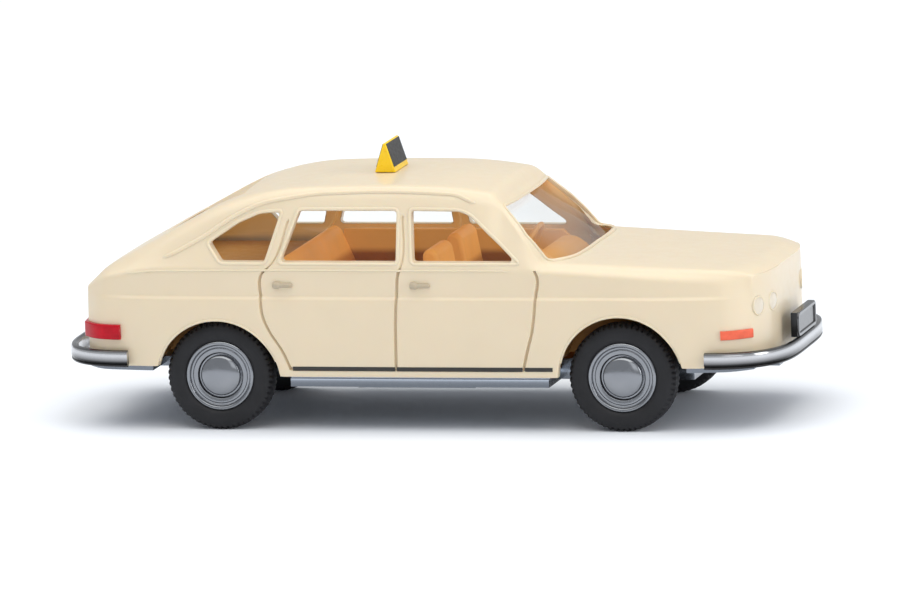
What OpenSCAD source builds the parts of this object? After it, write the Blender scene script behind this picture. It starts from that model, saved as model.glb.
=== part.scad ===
// Small plastic scale model of a four-door fastback saloon in taxi trim, on two turning wheel sets.
// Millimetres. +X is the front, +Y the left side, +Z up, z = 0 the ground.

/* [Proportions] */
// Distance between the axles
wheelbase = 28.75; // [24:0.25:33]
// Front axle to the front of the front bumper
front_overhang = 11.45; // [9.6:0.05:13.3]
// Rear axle to the back of the rear bumper
rear_overhang = 11.8; // [9.9:0.05:13.7]
// Width over the body sides
body_width = 18.8; // [15.7:0.1:21.9]
// Height of the belt line under the windows
belt_height = 11.5; // [10.5:0.1:12.5]
// Height of the cabin above the belt line
cabin_height = 5.8; // [5:0.1:6.6]
// Height of the body's lower edge between the wheels
sill_height = 3.95; // [3.6:0.05:4.3]

/* [Body moulding] */
// Wall thickness of the body
wall = 0.7; // [0.6:0.05:0.8]
// Distance of the side crease below the belt line
crease_drop = 2.2; // [1.9:0.05:2.5]
// Depth of the step at the side crease
crease_step = 0.16; // [0.1:0.01:0.2]
// Height of the step at the side crease
crease_rise = 0.2; // [0.15:0.01:0.25]
// Bulge of the sides below the crease
side_bulge = 0.12; // [0.08:0.01:0.16]
// Rise of the body's lower edge ahead of the front and behind the rear wheels
apron_rise = 0.67; // [0.55:0.01:0.8]
// Rounding of the shoulder under the windows
shoulder_round = 0.3; // [0.25:0.01:0.35]
// Rounding of the roof and bonnet edges
rail_round = 0.9; // [0.7:0.05:1.1]
// Space between the front tyres and their arches
front_arch_gap = 0.6; // [0.5:0.05:0.7]
// Space between the rear tyres and the sides of their arches
rear_arch_gap = 0.7; // [0.6:0.05:0.85]
// Distance of the rear arch centres below the axle
rear_arch_drop = 0.45; // [0.3:0.05:0.5]
// Radius of the engraved panel gaps
gap_radius = 0.1; // [0.08:0.01:0.14]
// Radius of the rain gutter bead
gutter_radius = 0.17; // [0.12:0.01:0.22]
// Corner radius of the windows
window_round = 0.2; // [0.15:0.01:0.25]
// Clearance between pieces that are pushed together
fit_gap = 0.04; // [0.03:0.01:0.05]

/* [Glazing] */
// Thickness of the clear moulding
glass_thickness = 0.5; // [0.4:0.05:0.6]
// Gap between the body and the clear moulding
glass_gap = 0.08; // [0.06:0.01:0.1]

/* [Cabin and base plate] */
// Thickness of the insert's plates
plate_thickness = 0.42; // [0.36:0.02:0.48]
// Height of the shadow gap between the body and the strips of the base plate
sill_gap = 0.24; // [0.2:0.01:0.28]
// Distance of the base plate's strips inside the body sides
strip_inset = 0.2; // [0.15:0.01:0.25]

/* [Wheels] */
// Diameter of the tyres
tyre_diameter = 7.6; // [6.4:0.1:8.8]
// Width of the tyres
tyre_width = 1.9; // [1.6:0.05:2.2]
// Distance of the tyre faces inside the body sides
wheel_inset = 0.65; // [0.5:0.05:0.8]
// Diameter of the steel axles
axle_diameter = 1.0; // [0.8:0.05:1.2]
// Running clearance round the axles
axle_clearance = 0.05; // [0.04:0.01:0.08]

/* [Bumpers, lamps and plate] */
// Height of the middle of the bumper bars above the ground
bumper_z = 5.1; // [4.8:0.05:5.4]
// Height of the bumper bars
bumper_height = 1.2; // [1:0.05:1.4]
// Thickness of the bumper bars
bumper_thickness = 0.5; // [0.4:0.05:0.6]
// Distance of the bumper ends outside the body sides
bumper_standoff = 0.15; // [0.1:0.01:0.2]
// Width of the blank number plate block
plate_width = 5.6; // [4.6:0.1:6.6]
// Height of the blank number plate block
plate_height = 1.7; // [1.4:0.1:2]
// Diameter of the headlamp lenses
lamp_diameter = 1.4; // [1.2:0.1:1.6]
// Height of the tail lamps
tail_lamp_height = 1.05; // [0.9:0.05:1.2]

/* [Roof sign] */
// Width of the sign across the car
sign_width = 3.8; // [3.2:0.1:4.4]
// Height of the sign
sign_height = 2.05; // [1.8:0.05:2.3]
// Depth of the sign from front to back
sign_depth = 1.5; // [1.3:0.1:1.7]

/* [Hidden] */

length_all = front_overhang + wheelbase + rear_overhang;
front_axle_x = length_all / 2 - front_overhang;
rear_axle_x = front_axle_x - wheelbase;
tyre_radius = tyre_diameter / 2;
axle_z = tyre_radius;
half = body_width / 2;
wheel_span = body_width - 2 * wheel_inset;

apron_height = sill_height + apron_rise;
crease_height = belt_height - crease_drop;
bumper_top = bumper_z + bumper_height / 2;

// Places along the car as shares of the overhangs and of the wheelbase
function ahead(s) = front_axle_x + s * front_overhang;
function behind(s) = rear_axle_x - s * rear_overhang;
function between(s) = rear_axle_x + s * wheelbase;
nose_x = ahead(0.79);
tail_x = behind(0.818);
cowl_x = between(0.806);
header_x = between(0.7);
roof_front_x = between(0.678);

// Lines of the body. Each row is a corner of the line: [station x, value, half length of its rounding].
// Values are shares of the half width, or of the cabin height above the belt; roundings of the wheelbase.
WAIST_Y = [[tail_x, 0.787, 0], [behind(0.73), 0.92, 0.024], [behind(0.407), 0.984, 0.087],
           [between(0.5), 1, 0.28], [ahead(0.384), 0.987, 0.087], [ahead(0.686), 0.92, 0.028],
           [nose_x, 0.79, 0]];
SHOULDER_Y = [[tail_x, 0.771, 0], [behind(0.72), 0.888, 0.024], [behind(0.407), 0.952, 0.087],
              [between(0.5), 0.968, 0.28], [ahead(0.306), 0.941, 0.087], [ahead(0.677), 0.867, 0.028],
              [nose_x, 0.782, 0]];
SHOULDER_Z = [[tail_x, -0.3, 0], [behind(0.71), -0.129, 0.028], [behind(0.424), -0.035, 0.052],
              [between(0.139), -0.02, 0.07], [header_x, -0.02, 0.07], [between(0.86), -0.05, 0.052],
              [ahead(0.677), -0.172, 0.031], [nose_x, -0.241, 0]];
RAIL_Y = [[tail_x, 0.734, 0], [behind(0.407), 0.819, 0.07], [between(0), 0.777, 0.07],
          [between(0.278), 0.734, 0.1], [between(0.527), 0.723, 0.1], [header_x, 0.715, 0.014],
          [between(0.762), 0.85, 0.02], [cowl_x, 0.88, 0.014], [between(0.86), 0.87, 0.03],
          [ahead(0.686), 0.825, 0.05], [nose_x, 0.775, 0]];
RAIL_Z = [[tail_x, -0.276, 0], [behind(0.71), -0.052, 0.021], [between(-0.01), 0.681, 0.052],
          [between(0.139), 0.897, 0.07], [between(0.348), 0.922, 0.087], [between(0.56), 0.914, 0.07],
          [roof_front_x, 0.83, 0.014], [header_x, 0.715, 0.007], [between(0.762), 0.375, 0.02],
          [cowl_x, 0.05, 0.01], [between(0.86), 0.038, 0.035], [ahead(0.677), -0.058, 0.031],
          [nose_x, -0.125, 0]];
TOP_Z = [[tail_x, -0.27, 0], [behind(0.7), -0.07, 0.028], [between(0.045), 0.865, 0.059],
         [between(0.313), 0.966, 0.139], [between(0.58), 0.96, 0.07], [roof_front_x, 0.88, 0.017],
         [header_x, 0.735, 0.007], [between(0.762), 0.395, 0.02], [cowl_x, 0.065, 0.01],
         [ahead(0.686), -0.04, 0.031],
         [nose_x, -0.115, 0]];
// Bow of the middle ahead of the sides, as a share of the half width
BOW = [[tail_x, -0.05, 0], [between(0.066), 0, 0.1], [between(0.5), 0, 0.1],
       [header_x, 0.01, 0.007], [cowl_x, 0.265, 0.014], [nose_x, 0.11, 0]];
// Power of the bow's curve: the higher, the boxier in plan
BOW_POWER = [[tail_x, 2, 0], [header_x, 4, 0.014], [cowl_x, 6, 0.014], [nose_x, 4, 0]];
// Rounding of the upper edges, as a share of the rail rounding
RAIL_BEND = [[tail_x, 1, 0], [roof_front_x, 1, 0.014], [header_x, 0.4, 0.014], [cowl_x, 0.4, 0.014],
             [between(0.86), 1, 0.014], [nose_x, 1, 0]];

// Stations at which the lines are read: [from, to, count]
STATION_RUNS = [[tail_x, behind(0.65), 5], [behind(0.65), between(0), 5], [between(0), between(0.2), 6],
                [between(0.2), between(0.6), 5], [between(0.6), roof_front_x, 4],
                [roof_front_x, header_x, 2],
                [header_x, cowl_x, 5], [cowl_x, between(0.88), 4], [between(0.88), ahead(0.62), 5],
                [ahead(0.62), nose_x, 6]];
CAP_STEPS = [0.88, 0.68, 0.42, 0.14];
stations = [for (r = STATION_RUNS) for (k = [0:r[2] - 1]) r[0] + (r[1] - r[0]) * k / r[2]];

// Rounded ramp: 0 before the corner, u after it, a parabola over +-b
function ramp(u, b) = u <= -b ? 0 : u >= b ? u : (u + b) ^ 2 / (4 * b);
function slope(t, i) = (t[i + 1][1] - t[i][1]) / (t[i + 1][0] - t[i][0]);
function total(v, i = 0) = i < len(v) ? v[i] + total(v, i + 1) : 0;
function turn(t, i, x) = (slope(t, i) - slope(t, i - 1)) * ramp(x - t[i][0], wheelbase * t[i][2]);
function turns(t, x) = total([for (i = [1:len(t) - 2]) turn(t, i, x)]);
function line_at(t, x) = t[0][1] + slope(t, 0) * (x - t[0][0]) + turns(t, x);
function waist_y(x) = half * line_at(WAIST_Y, x);
function above_belt(s) = belt_height + s * cabin_height;
function shoulder(x) = [half * line_at(SHOULDER_Y, x), above_belt(line_at(SHOULDER_Z, x))];
function rail(x) = [half * line_at(RAIL_Y, x), above_belt(line_at(RAIL_Z, x))];
function top_z(x) = above_belt(line_at(TOP_Z, x));
function bow_share(x, s) = max(0, 1 - abs(s) ^ line_at(BOW_POWER, x));
function bow_at(x, s = 0) = half * line_at(BOW, x) * bow_share(x, s);
function low_at(x) = x > rear_axle_x && x < front_axle_x ? sill_height : apron_height;

// Rounded corner b between the legs from a and to c, in n steps
function bend(a, b, c, n) = [for (s = [0:1 / n:1]) (1 - s) ^ 2 * a + 2 * s * (1 - s) * b + s ^ 2 * c];
function toward(a, b, r) = a + (b - a) * r / norm(b - a);

// Half section at a station, inset by d: [y, z] from the lower edge over the side to the middle of the top
function half_section(x, d, n) = let (
    w = waist_y(x) - d,
    b = shoulder(x) - d * [1, 0.7],
    c = rail(x) - d * [0.75, 0.8],
    top = top_z(x) - d,
    low = d > 0 ? sill_height / 2 : low_at(x),
    step = d > 0 ? 0 : crease_step * min(1, (nose_x - x) / half * 3, (x - tail_x) / half * 3),
    a = [w - side_bulge - step, min(crease_height + crease_rise, b[1] - crease_rise)],
    r = min(shoulder_round, 0.4 * norm(b - c), 0.6 * norm(b - a)),
    r_rail = min(rail_round * line_at(RAIL_BEND, x), 0.45 * norm(b - c)),
    roof_y = c[0] - r_rail
) concat(
    [for (s = [0:1 / n:1]) [w - side_bulge * (2 * s - 1) ^ 2, low + (a[1] - crease_rise - low) * s]],
    [a],
    bend(toward(b, a, r), b, toward(b, c, r), n),
    bend(toward(c, b, r_rail), c, [roof_y, top - (top - c[1]) * (roof_y / c[0]) ^ 2], n),
    [for (i = [1:n + 1]) let (y = roof_y * (1 - i / (n + 1))) [y, top - (top - c[1]) * (y / c[0]) ^ 2]]
);

// Whole section: bowed towards the middle, squeezed by q on the end faces
function ring(x, d, n, q = 1) = let (
    h = half_section(x, d, n),
    edge = q < 1 ? waist_y(x) : rail(x)[0],
    m = len(h)
) [for (j = [0:2 * m - 2]) let (p = h[j < m ? j : 2 * m - 2 - j], y = q * p[0] * (j < m - 1 ? -1 : 1))
    [x + bow_at(x, y / edge), y, p[1]]];

// Closed skin over rings of points, the two ends closed by strips from side to side
module skin(rings) {
    n = len(rings);
    m = len(rings[0]);
    last = (n - 1) * m;
    walls = [for (i = [0:n - 2]) for (j = [0:m - 1]) let (k = (j + 1) % m, a = i * m, b = a + m)
        each [[a + j, a + k, b + k], [a + j, b + k, b + j]]];
    ends = [for (j = [0:(m - 3) / 2])
        each [[j, m - 1 - j, j + 1], [last + j, last + j + 1, last + m - 1 - j]]];
    caps = [for (j = [0:(m - 5) / 2])
        each [[j + 1, m - 1 - j, m - 2 - j], [last + j + 1, last + m - 2 - j, last + m - 1 - j]]];
    polyhedron([for (r = rings) each r], concat(walls, ends, caps));
}

// Outer form of the body with bowed end faces
module body_form() {
    skin(concat(
        [for (i = [len(CAP_STEPS) - 1:-1:0]) ring(tail_x, 0, 3, CAP_STEPS[i])],
        [for (x = concat(stations, [nose_x])) ring(x, 0, 3)],
        [for (q = CAP_STEPS) ring(nose_x, 0, 3, q)]));
}

// Hollow form inset by d between two stations
module hollow_form(d, from, to) {
    inside = [for (s = stations) if (s > from + wall / 4 && s < to - wall / 4) s];
    skin([for (x = concat([from], inside, [to])) ring(x, d, 2)]);
}

module both_sides() {
    children();
    mirror([0, 1, 0]) children();
}

// Upright plate with a side outline, centred on at_y
module side_plate(width, at_y, outline) {
    translate([0, at_y + width / 2, 0]) rotate([90, 0, 0]) linear_extrude(width) polygon(outline);
}

// Round bead or groove run along a path of points
module bead(path, r) {
    for (i = [0:len(path) - 2])
        hull() {
            translate(path[i]) sphere(r, $fn = 6);
            translate(path[i + 1]) sphere(r, $fn = 6);
        }
}

// Side windows: corners as shares of the wheelbase from the rear axle and of the cabin height
QUARTER_WINDOW = [[0.014, 0.066], [0.123, 0.066], [0.158, 0.64], [0.107, 0.62], [0.054, 0.512],
                  [-0.018, 0.28]];
REAR_WINDOW = [[0.163, 0.066], [0.451, 0.066], [0.446, 0.653], [0.205, 0.653]];
FRONT_WINDOW = [[0.493, 0.066], [0.748, 0.066], [0.626, 0.594], [0.599, 0.643], [0.482, 0.653]];
SIDE_WINDOWS = [QUARTER_WINDOW, REAR_WINDOW, FRONT_WINDOW];
module rounded_outline(corners) {
    offset(window_round, $fn = 16) offset(delta = -window_round) polygon(corners);
}
module window_prism(corners) {
    rotate([90, 0, 0]) linear_extrude(body_width)
        rounded_outline([for (c = corners) [between(c[0]), above_belt(c[1])]]);
}
// Windscreen: corners of its right half as shares of the half width and of the cabin height
SCREEN = [[0, 0.1], [0.5, 0.095], [0.84, 0.07], [0.665, 0.68]];
module windscreen_cut() {
    right = [for (c = SCREEN) [c[0] * half, above_belt(c[1])]];
    left = [for (i = [len(right) - 1:-1:1]) [-right[i][0], right[i][1]]];
    rotate([90, 0, 90]) translate([0, 0, roof_front_x]) linear_extrude(wheelbase / 4)
        rounded_outline(concat(right, left));
}
module rear_window_cut() {
    low_x = behind(0.37);
    high_x = between(0.045);
    low_y = 0.63 * half;
    high_y = 0.57 * half;
    translate([0, 0, belt_height]) linear_extrude(2 * cabin_height)
        rounded_outline([[low_x, -low_y], [high_x, -high_y], [high_x, high_y], [low_x, low_y]]);
}
module arch_cut(x, z, r) {
    translate([x, 0, z]) rotate([90, 0, 0]) cylinder(r = r, h = 2 * body_width, center = true, $fn = 48);
}
front_arch_radius = tyre_radius + front_arch_gap;
rear_arch_radius = tyre_radius + rear_arch_gap;
rear_arch_z = axle_z - rear_arch_drop;

// Panel gaps: points as shares of the wheelbase from the rear axle and of the height from sill to belt
REAR_SHUT = [[0.12, 1.01], [0.114, 0.735], [0.12, 0.536], [0.139, 0.384], [0.163, 0.245],
             [0.184, 0.066]];
MIDDLE_SHUT = [[0.461, 1.01], [0.453, 0.735], [0.447, 0.066]];
FRONT_SHUT = [[0.796, 0.987], [0.797, 0.735], [0.788, 0.43], [0.772, 0.205], [0.763, 0.066]];
BOTTOM_SHUT = [[0.184, 0.066], [0.763, 0.066]];
SHUT_LINES = [REAR_SHUT, MIDDLE_SHUT, FRONT_SHUT, BOTTOM_SHUT];
function side_y(x, z) = waist_y(x) - (z > crease_height ? crease_step + side_bulge : side_bulge / 2);
function shut_point(p) = let (x = between(p[0]), z = sill_height + p[1] * (belt_height - sill_height))
    [x, side_y(x, z), z];

// Door handles on the band above the crease
HANDLE_PLACES = [0.17, 0.512];
handle_length = 0.8 * wall;
handle_z = crease_height + 0.45 * crease_drop;
module door_handle(s) {
    x = between(s);
    y = side_y(x, handle_z);
    bead([[x - handle_length, y, handle_z], [x + handle_length, y, handle_z]], 0.3 * wall);
}

// Rain gutter: points as shares of the wheelbase from the rear axle and of the cabin height
GUTTER_LINE = [[-0.162, 0.017], [-0.09, 0.195], [-0.03, 0.35], [0.029, 0.552], [0.106, 0.744],
               [0.238, 0.845], [0.388, 0.866], [0.508, 0.857], [0.596, 0.828], [0.64, 0.72], [0.67, 0.65]];
function cabin_side_y(x, z) = let (b = shoulder(x), c = rail(x))
    b[0] + (c[0] - b[0]) * (z - b[1]) / (c[1] - b[1]);
function gutter_point(p) = let (x = between(p[0]), z = above_belt(p[1]))
    [x, cabin_side_y(x, z) - gutter_radius / 5, z];
GUTTER = [for (p = GUTTER_LINE) gutter_point(p)];

// Headlamp places on the bowed nose: [share of the half width, turn to the side]
LAMPS = [[0.715, 20], [0.49, 13]];
lamp_radius = lamp_diameter / 2;
lamp_z = crease_height - lamp_radius;
lamp_depth = 0.7 * wall;
function nose_at(y) = nose_x + bow_at(nose_x, y / waist_y(nose_x));
module at_lamps() {
    both_sides() for (l = LAMPS)
        translate([nose_at(l[0] * half), l[0] * half, lamp_z]) rotate([0, 90, l[1]]) children();
}

sign_x = between(0.372);
sign_foot_z = top_z(sign_x);
peg_radius = 0.27 * sign_depth;

module body_shell() {
    color("#EBDCC0") difference() {
        union() {
            body_form();
            both_sides() bead(GUTTER, gutter_radius);
            both_sides() for (s = HANDLE_PLACES) door_handle(s);
        }
        hollow_form(wall, tail_x + wall, nose_x - wall);
        both_sides() for (w = SIDE_WINDOWS) window_prism(w);
        windscreen_cut();
        rear_window_cut();
        arch_cut(front_axle_x, axle_z, front_arch_radius);
        arch_cut(rear_axle_x, rear_arch_z, rear_arch_radius);
        both_sides() for (s = SHUT_LINES) bead([for (p = s) shut_point(p)], gap_radius);
        at_lamps() translate([0, 0, -lamp_depth])
            cylinder(r = lamp_radius + fit_gap, h = 2 * wall, $fn = 24);
        translate([sign_x, 0, sign_foot_z - 2 * wall])
            cylinder(r = peg_radius + fit_gap, h = 3 * wall, $fn = 24);
    }
}

// Clear moulding that lines the cabin behind the windows
glass_low = above_belt(0.03);
module glazing() {
    outer = wall + glass_gap;
    rear = behind(0.44);
    front = cowl_x + wall;
    color("#DCE6EA") difference() {
        hollow_form(outer, rear, front);
        hollow_form(outer + glass_thickness, rear - wall, front + wall);
        translate([rear - wall, -half, 0]) cube([front - rear + 2 * wall, body_width, glass_low]);
    }
}

// Caramel insert: floor, door trims, seats, rear shelf, dashboard and wheel housings
insert_half = 0.955 * half - wall;
floor_top = sill_height + 0.8 * wall;
trim_top = glass_low - fit_gap / 2;
trim_y = 0.8 * half;
bearing_y = wheel_span / 2 - tyre_width - 1.45 * axle_diameter;
housing_y = bearing_y + wall / 7;
housing_wall = plate_thickness;
shelf_z = 0.9 * belt_height;
front_floor_x = front_axle_x - front_arch_radius - wall;
rear_floor_x = rear_axle_x + rear_arch_radius + wall;
scuttle_z = axle_z + front_arch_radius + housing_wall / 2;

// Place in the cabin: shares of the wheelbase from the rear axle and of the height from floor to belt
function cabin_point(p) = [between(p[0]), floor_top + p[1] * (belt_height - floor_top)];
FRONT_SEAT = [[0.501, -0.02], [0.682, -0.02], [0.689, 0.443], [0.675, 0.514], [0.556, 0.457], [0.529, 1.071],
              [0.515, 1.114], [0.497, 1.1], [0.49, 1.043], [0.511, 0.386]];
REAR_BENCH = [[0.18, -0.02], [0.341, -0.02], [0.348, 0.414], [0.334, 0.486], [0.236, 0.443], [0.175, 1.02],
              [0.161, 1.063], [0.143, 1.034], [0.15, 0.586]];
// Dashboard: its foot stands in the scuttle plate
DASHBOARD = [[0.806, 0.87], [0.77, 0.97], [0.735, 0.97], [0.72, 0.9], [0.72, 0.7]];
dash_width = 1.45 * half;
module dashboard() {
    foot = [[between(0.735), scuttle_z], [between(0.806), scuttle_z]];
    side_plate(dash_width, 0, concat(foot, [for (p = DASHBOARD) cabin_point(p)]));
}
// Door trim: level along the windows, falling towards the dashboard
module door_trim() {
    side_plate(housing_wall, trim_y - housing_wall / 2, [[rear_floor_x, sill_height],
        [front_floor_x, sill_height], [front_floor_x, scuttle_z + wall], [between(0.735), trim_top],
        [rear_floor_x, trim_top]]);
}
module seat(outline, width, at_y) {
    side_plate(width, at_y, [for (p = outline) cabin_point(p)]);
}
module wheel_housing(x, z, r) {
    translate([x, housing_y, z]) rotate([-90, 0, 0]) difference() {
        cylinder(r = r + wall, h = insert_half - housing_y);
        translate([0, 0, housing_wall]) cylinder(r = r + 0.2 * wall, h = insert_half);
        translate([-2 * r, z - apron_height - wall / 2, -wall]) cube([4 * r, 3 * r, half]);
    }
}
module level_plate(from, to, low, width) {
    translate([from, -width / 2, low]) cube([to - from, width, housing_wall]);
}
module shelf_side() {
    low = rear_arch_z + rear_arch_radius;
    back = behind(0.17);
    translate([back, housing_y, low])
        cube([between(0.07) - back, housing_wall, shelf_z + housing_wall / 2 - low]);
}
module cabin_insert() {
    color("#C98A46") union() {
        translate([rear_floor_x, -insert_half, sill_height])
            cube([front_floor_x - rear_floor_x, 2 * insert_half, floor_top - sill_height]);
        both_sides() door_trim();
        both_sides() seat(FRONT_SEAT, 0.49 * half, 0.375 * half);
        seat(REAR_BENCH, 1.55 * half, 0);
        dashboard();
        level_plate(behind(0.39), between(0.175), shelf_z, 1.55 * half);
        level_plate(cowl_x, ahead(0.17), scuttle_z, 2 * insert_half - 2 * wall);
        both_sides() wheel_housing(front_axle_x, axle_z, front_arch_radius);
        both_sides() wheel_housing(rear_axle_x, rear_arch_z, rear_arch_radius);
        both_sides() shelf_side();
    }
}

steering_radius = 0.2 * half;
steering_tilt = 118;
module steering_wheel() {
    hub = 0.2 * steering_radius;
    rim = 0.095 * steering_radius;
    place = cabin_point([0.678, 0.914]);
    color("#C98A46") translate([place[0], 0.375 * half, place[1]]) rotate([0, steering_tilt, 0]) {
        rotate_extrude($fn = 64) translate([steering_radius, 0]) circle(rim, $fn = 24);
        for (a = [0, 180]) rotate(a) translate([0, -hub / 2, -rim / 2]) cube([steering_radius, hub, rim]);
        cylinder(r = hub, h = 0.037 * wheelbase);
    }
}

// Base plate with sill strips, end plates, belly pan, ribs, bumper brackets and axle bearings
floor_low = sill_height - 1.14 * wall;
belly_low = floor_low - 1.07 * wall;
end_low = apron_height - 0.6 * wall;
bore_radius = axle_diameter / 2 + axle_clearance;
bracket_end = length_all / 2 - 1.9 * bumper_thickness;
bracket_back = bracket_end - 0.7 * wall;
// Level plate that follows the body sides at a distance
module plan_plate(from, to, low, high, inset) {
    edge = [for (i = [0:8]) let (x = from + (to - from) * i / 8) [x, waist_y(x) - inset]];
    translate([0, 0, low]) linear_extrude(high - low)
        polygon(concat(edge, [for (i = [len(edge) - 1:-1:0]) [edge[i][0], -edge[i][1]]]));
}
module end_plate(from, to) {
    plan_plate(from, to, end_low, apron_height, wall / 2);
}
// Sill strips below a shadow gap that is cut back under the body's edge
module sill_plate() {
    plan_plate(rear_floor_x, front_floor_x, floor_low, sill_height - sill_gap, side_bulge + strip_inset);
    plan_plate(rear_floor_x, front_floor_x, floor_low, sill_height, side_bulge + 0.7 * wall);
}
module bumper_bracket(root) {
    both_sides() side_plate(1.7 * wall, 0.53 * half, [[root, end_low], [bracket_end, end_low],
        [bracket_end, bumper_z], [bracket_back, bumper_z], [bracket_back, apron_height],
        [root, apron_height]]);
}
module bearing(x) {
    block = 2.6 * axle_diameter;
    both_sides() translate([x - block / 2, 0.65 * bearing_y, axle_z - 0.9 * axle_diameter])
        cube([block, 0.35 * bearing_y, 2.2 * axle_diameter]);
}
module spine() {
    translate([rear_axle_x - rear_arch_radius, -bearing_y, floor_low])
        cube([wheelbase + rear_arch_radius + front_arch_radius, 2 * bearing_y, sill_height - floor_low]);
    translate([tail_x + wall, -bearing_y, sill_height])
        cube([nose_x - tail_x - 2 * wall, 2 * bearing_y, apron_height - sill_height]);
}
module belly() {
    translate([between(0.313), -0.53 * half, belly_low])
        cube([0.292 * wheelbase, 1.06 * half, floor_low - belly_low + wall / 2]);
    for (y = [-0.3, 0, 0.3]) translate([between(0.13), y * half - wall / 2, floor_low - wall / 2])
        cube([0.74 * wheelbase, wall, wall]);
}
module chassis() {
    floor_room = [front_floor_x - rear_floor_x + wall / 4, 2 * insert_half + wall / 7, apron_height];
    color("#8C9096") difference() {
        union() {
            sill_plate();
            spine();
            belly();
            end_plate(front_axle_x + front_arch_radius + wall / 3, nose_x);
            end_plate(rear_axle_x - rear_arch_radius - wall / 3, tail_x);
            bumper_bracket(nose_x - wall);
            mirror([1, 0, 0]) bumper_bracket(-tail_x - wall);
            bearing(front_axle_x);
            bearing(rear_axle_x);
        }
        translate([rear_floor_x - wall / 8, -floor_room[1] / 2, sill_height]) cube(floor_room);
        for (x = [rear_axle_x, front_axle_x])
            translate([x, 0, axle_z]) rotate([90, 0, 0])
                cylinder(r = bore_radius, h = body_width, center = true);
    }
}

// Bumper bar: rounded profile carried along a boxy oval plan curve
// Profile points as shares of the bar's thickness inward and of its height
BUMPER_PROFILE = [[-1, -0.35], [-0.6, -0.5], [-0.12, -0.42], [0, -0.2], [0, 0.2], [-0.12, 0.42], [-0.6, 0.5],
                  [-1, 0.35]];
front_bumper_x = ahead(0.528);
rear_bumper_x = behind(0.542);
function signed_power(v, e) = sign(v) * abs(v) ^ e;
function bumper_plan(from, depth, off) = [for (a = [-90:6:90])
    [from + (depth + off) * abs(cos(a)) ^ 0.91, (half + bumper_standoff + off) * signed_power(sin(a), 0.5)]];
module swept_bar(sections) {
    n = len(sections);
    m = len(sections[0]);
    walls = [for (i = [0:n - 2]) for (j = [0:m - 1]) let (k = (j + 1) % m, a = i * m, b = a + m)
        each [[a + j, a + k, b + k], [a + j, b + k, b + j]]];
    ends = [[for (j = [m - 1:-1:0]) j], [for (j = [0:m - 1]) (n - 1) * m + j]];
    polyhedron([for (s = sections) each s], concat(walls, ends));
}
module bumper(from, depth) {
    curves = [for (p = BUMPER_PROFILE) bumper_plan(from, depth, p[0] * bumper_thickness)];
    swept_bar([for (i = [0:len(curves[0]) - 1]) [for (j = [0:len(curves) - 1])
        [curves[j][i][0], curves[j][i][1], bumper_z + BUMPER_PROFILE[j][1] * bumper_height]]]);
}
module front_bumper() {
    color("#B9BCC0") bumper(front_bumper_x, length_all / 2 - front_bumper_x);
}
module rear_bumper() {
    color("#B9BCC0") mirror([1, 0, 0]) bumper(-rear_bumper_x, length_all / 2 + rear_bumper_x);
}

// Number plate block on the front bumper, its face sunk inside a rim and left blank
plate_depth = 1.2 * bumper_thickness;
plate_rim = 0.15 * plate_height;
module plate_block() {
    back = length_all / 2 - 0.2 * bumper_thickness - plate_depth;
    color("#A9ACB0") translate([back, -plate_width / 2, bumper_top + fit_gap / 2])
        difference() {
            cube([plate_depth, plate_width, plate_height]);
            translate([0.83 * plate_depth, plate_rim, plate_rim])
                cube([plate_depth, plate_width - 2 * plate_rim, plate_height - 2 * plate_rim]);
        }
}

module roof_sign() {
    foot = sign_depth / 2;
    ridge = 0.06 * sign_depth;
    color("#F2BE00") translate([sign_x, 0, sign_foot_z + fit_gap / 2]) {
        side_plate(sign_width, 0, [[-foot, 0], [foot, 0], [ridge, sign_height], [-ridge, sign_height]]);
        translate([0, 0, -wall]) cylinder(r = peg_radius, h = 1.2 * wall);
    }
}

// Lens with a low dome, drawn as [radius, height above the pocket floor]
LENS = [[0, 0], [lamp_radius, 0], [lamp_radius, lamp_depth], [0.75 * lamp_radius, 1.12 * lamp_depth],
        [0.4 * lamp_radius, 1.2 * lamp_depth], [0, 1.23 * lamp_depth]];
module headlamps() {
    color("#D8DCDC") at_lamps() translate([0, 0, fit_gap - lamp_depth])
        rotate_extrude($fn = 48) polygon(LENS);
}

// Strip that wraps a body corner: plan band between two offsets from the body side
function normal_at(p, i) = let (t = p[min(i + 1, len(p) - 1)] - p[max(i - 1, 0)]) [t[1], -t[0]] / norm(t);
function offset_path(p, o) = [for (i = [0:len(p) - 1]) p[i] + o * normal_at(p, i)];
function reversed(p) = [for (i = [len(p) - 1:-1:0]) p[i]];
function side_path(end_x, back) = [for (i = [0:4]) let (x = end_x + back * (1 - i / 4)) [x, -waist_y(x)]];
function end_path(end_x, q) = [for (s = [0.94:-0.06:q])
    [end_x + bow_at(end_x, s), -s * waist_y(end_x)]];
module corner_strip(path, low, height, depth) {
    translate([0, 0, low]) linear_extrude(height)
        polygon(concat(offset_path(path, fit_gap), reversed(offset_path(path, depth))));
}
indicator_low = bumper_top + 0.355 * (lamp_z - lamp_radius - bumper_top);
module front_indicators() {
    color("#E08A4A") both_sides()
        corner_strip(side_path(nose_x, -0.17 * front_overhang), indicator_low, 0.6 * tail_lamp_height,
            wall / 4);
}
module tail_lamps() {
    color("#B01020") both_sides()
        corner_strip(reversed(concat(side_path(tail_x, 0.23 * rear_overhang), end_path(tail_x, 0.7))),
            bumper_top + 0.66 * tail_lamp_height, tail_lamp_height, 0.42 * wall);
}

module axle(x) {
    color("#9A9CA0") translate([x, 0, axle_z]) rotate([90, 0, 0])
        cylinder(d = axle_diameter, h = wheel_span - 0.84 * tyre_width, center = true);
}
module front_axle() { axle(front_axle_x); }
module rear_axle() { axle(rear_axle_x); }

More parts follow.
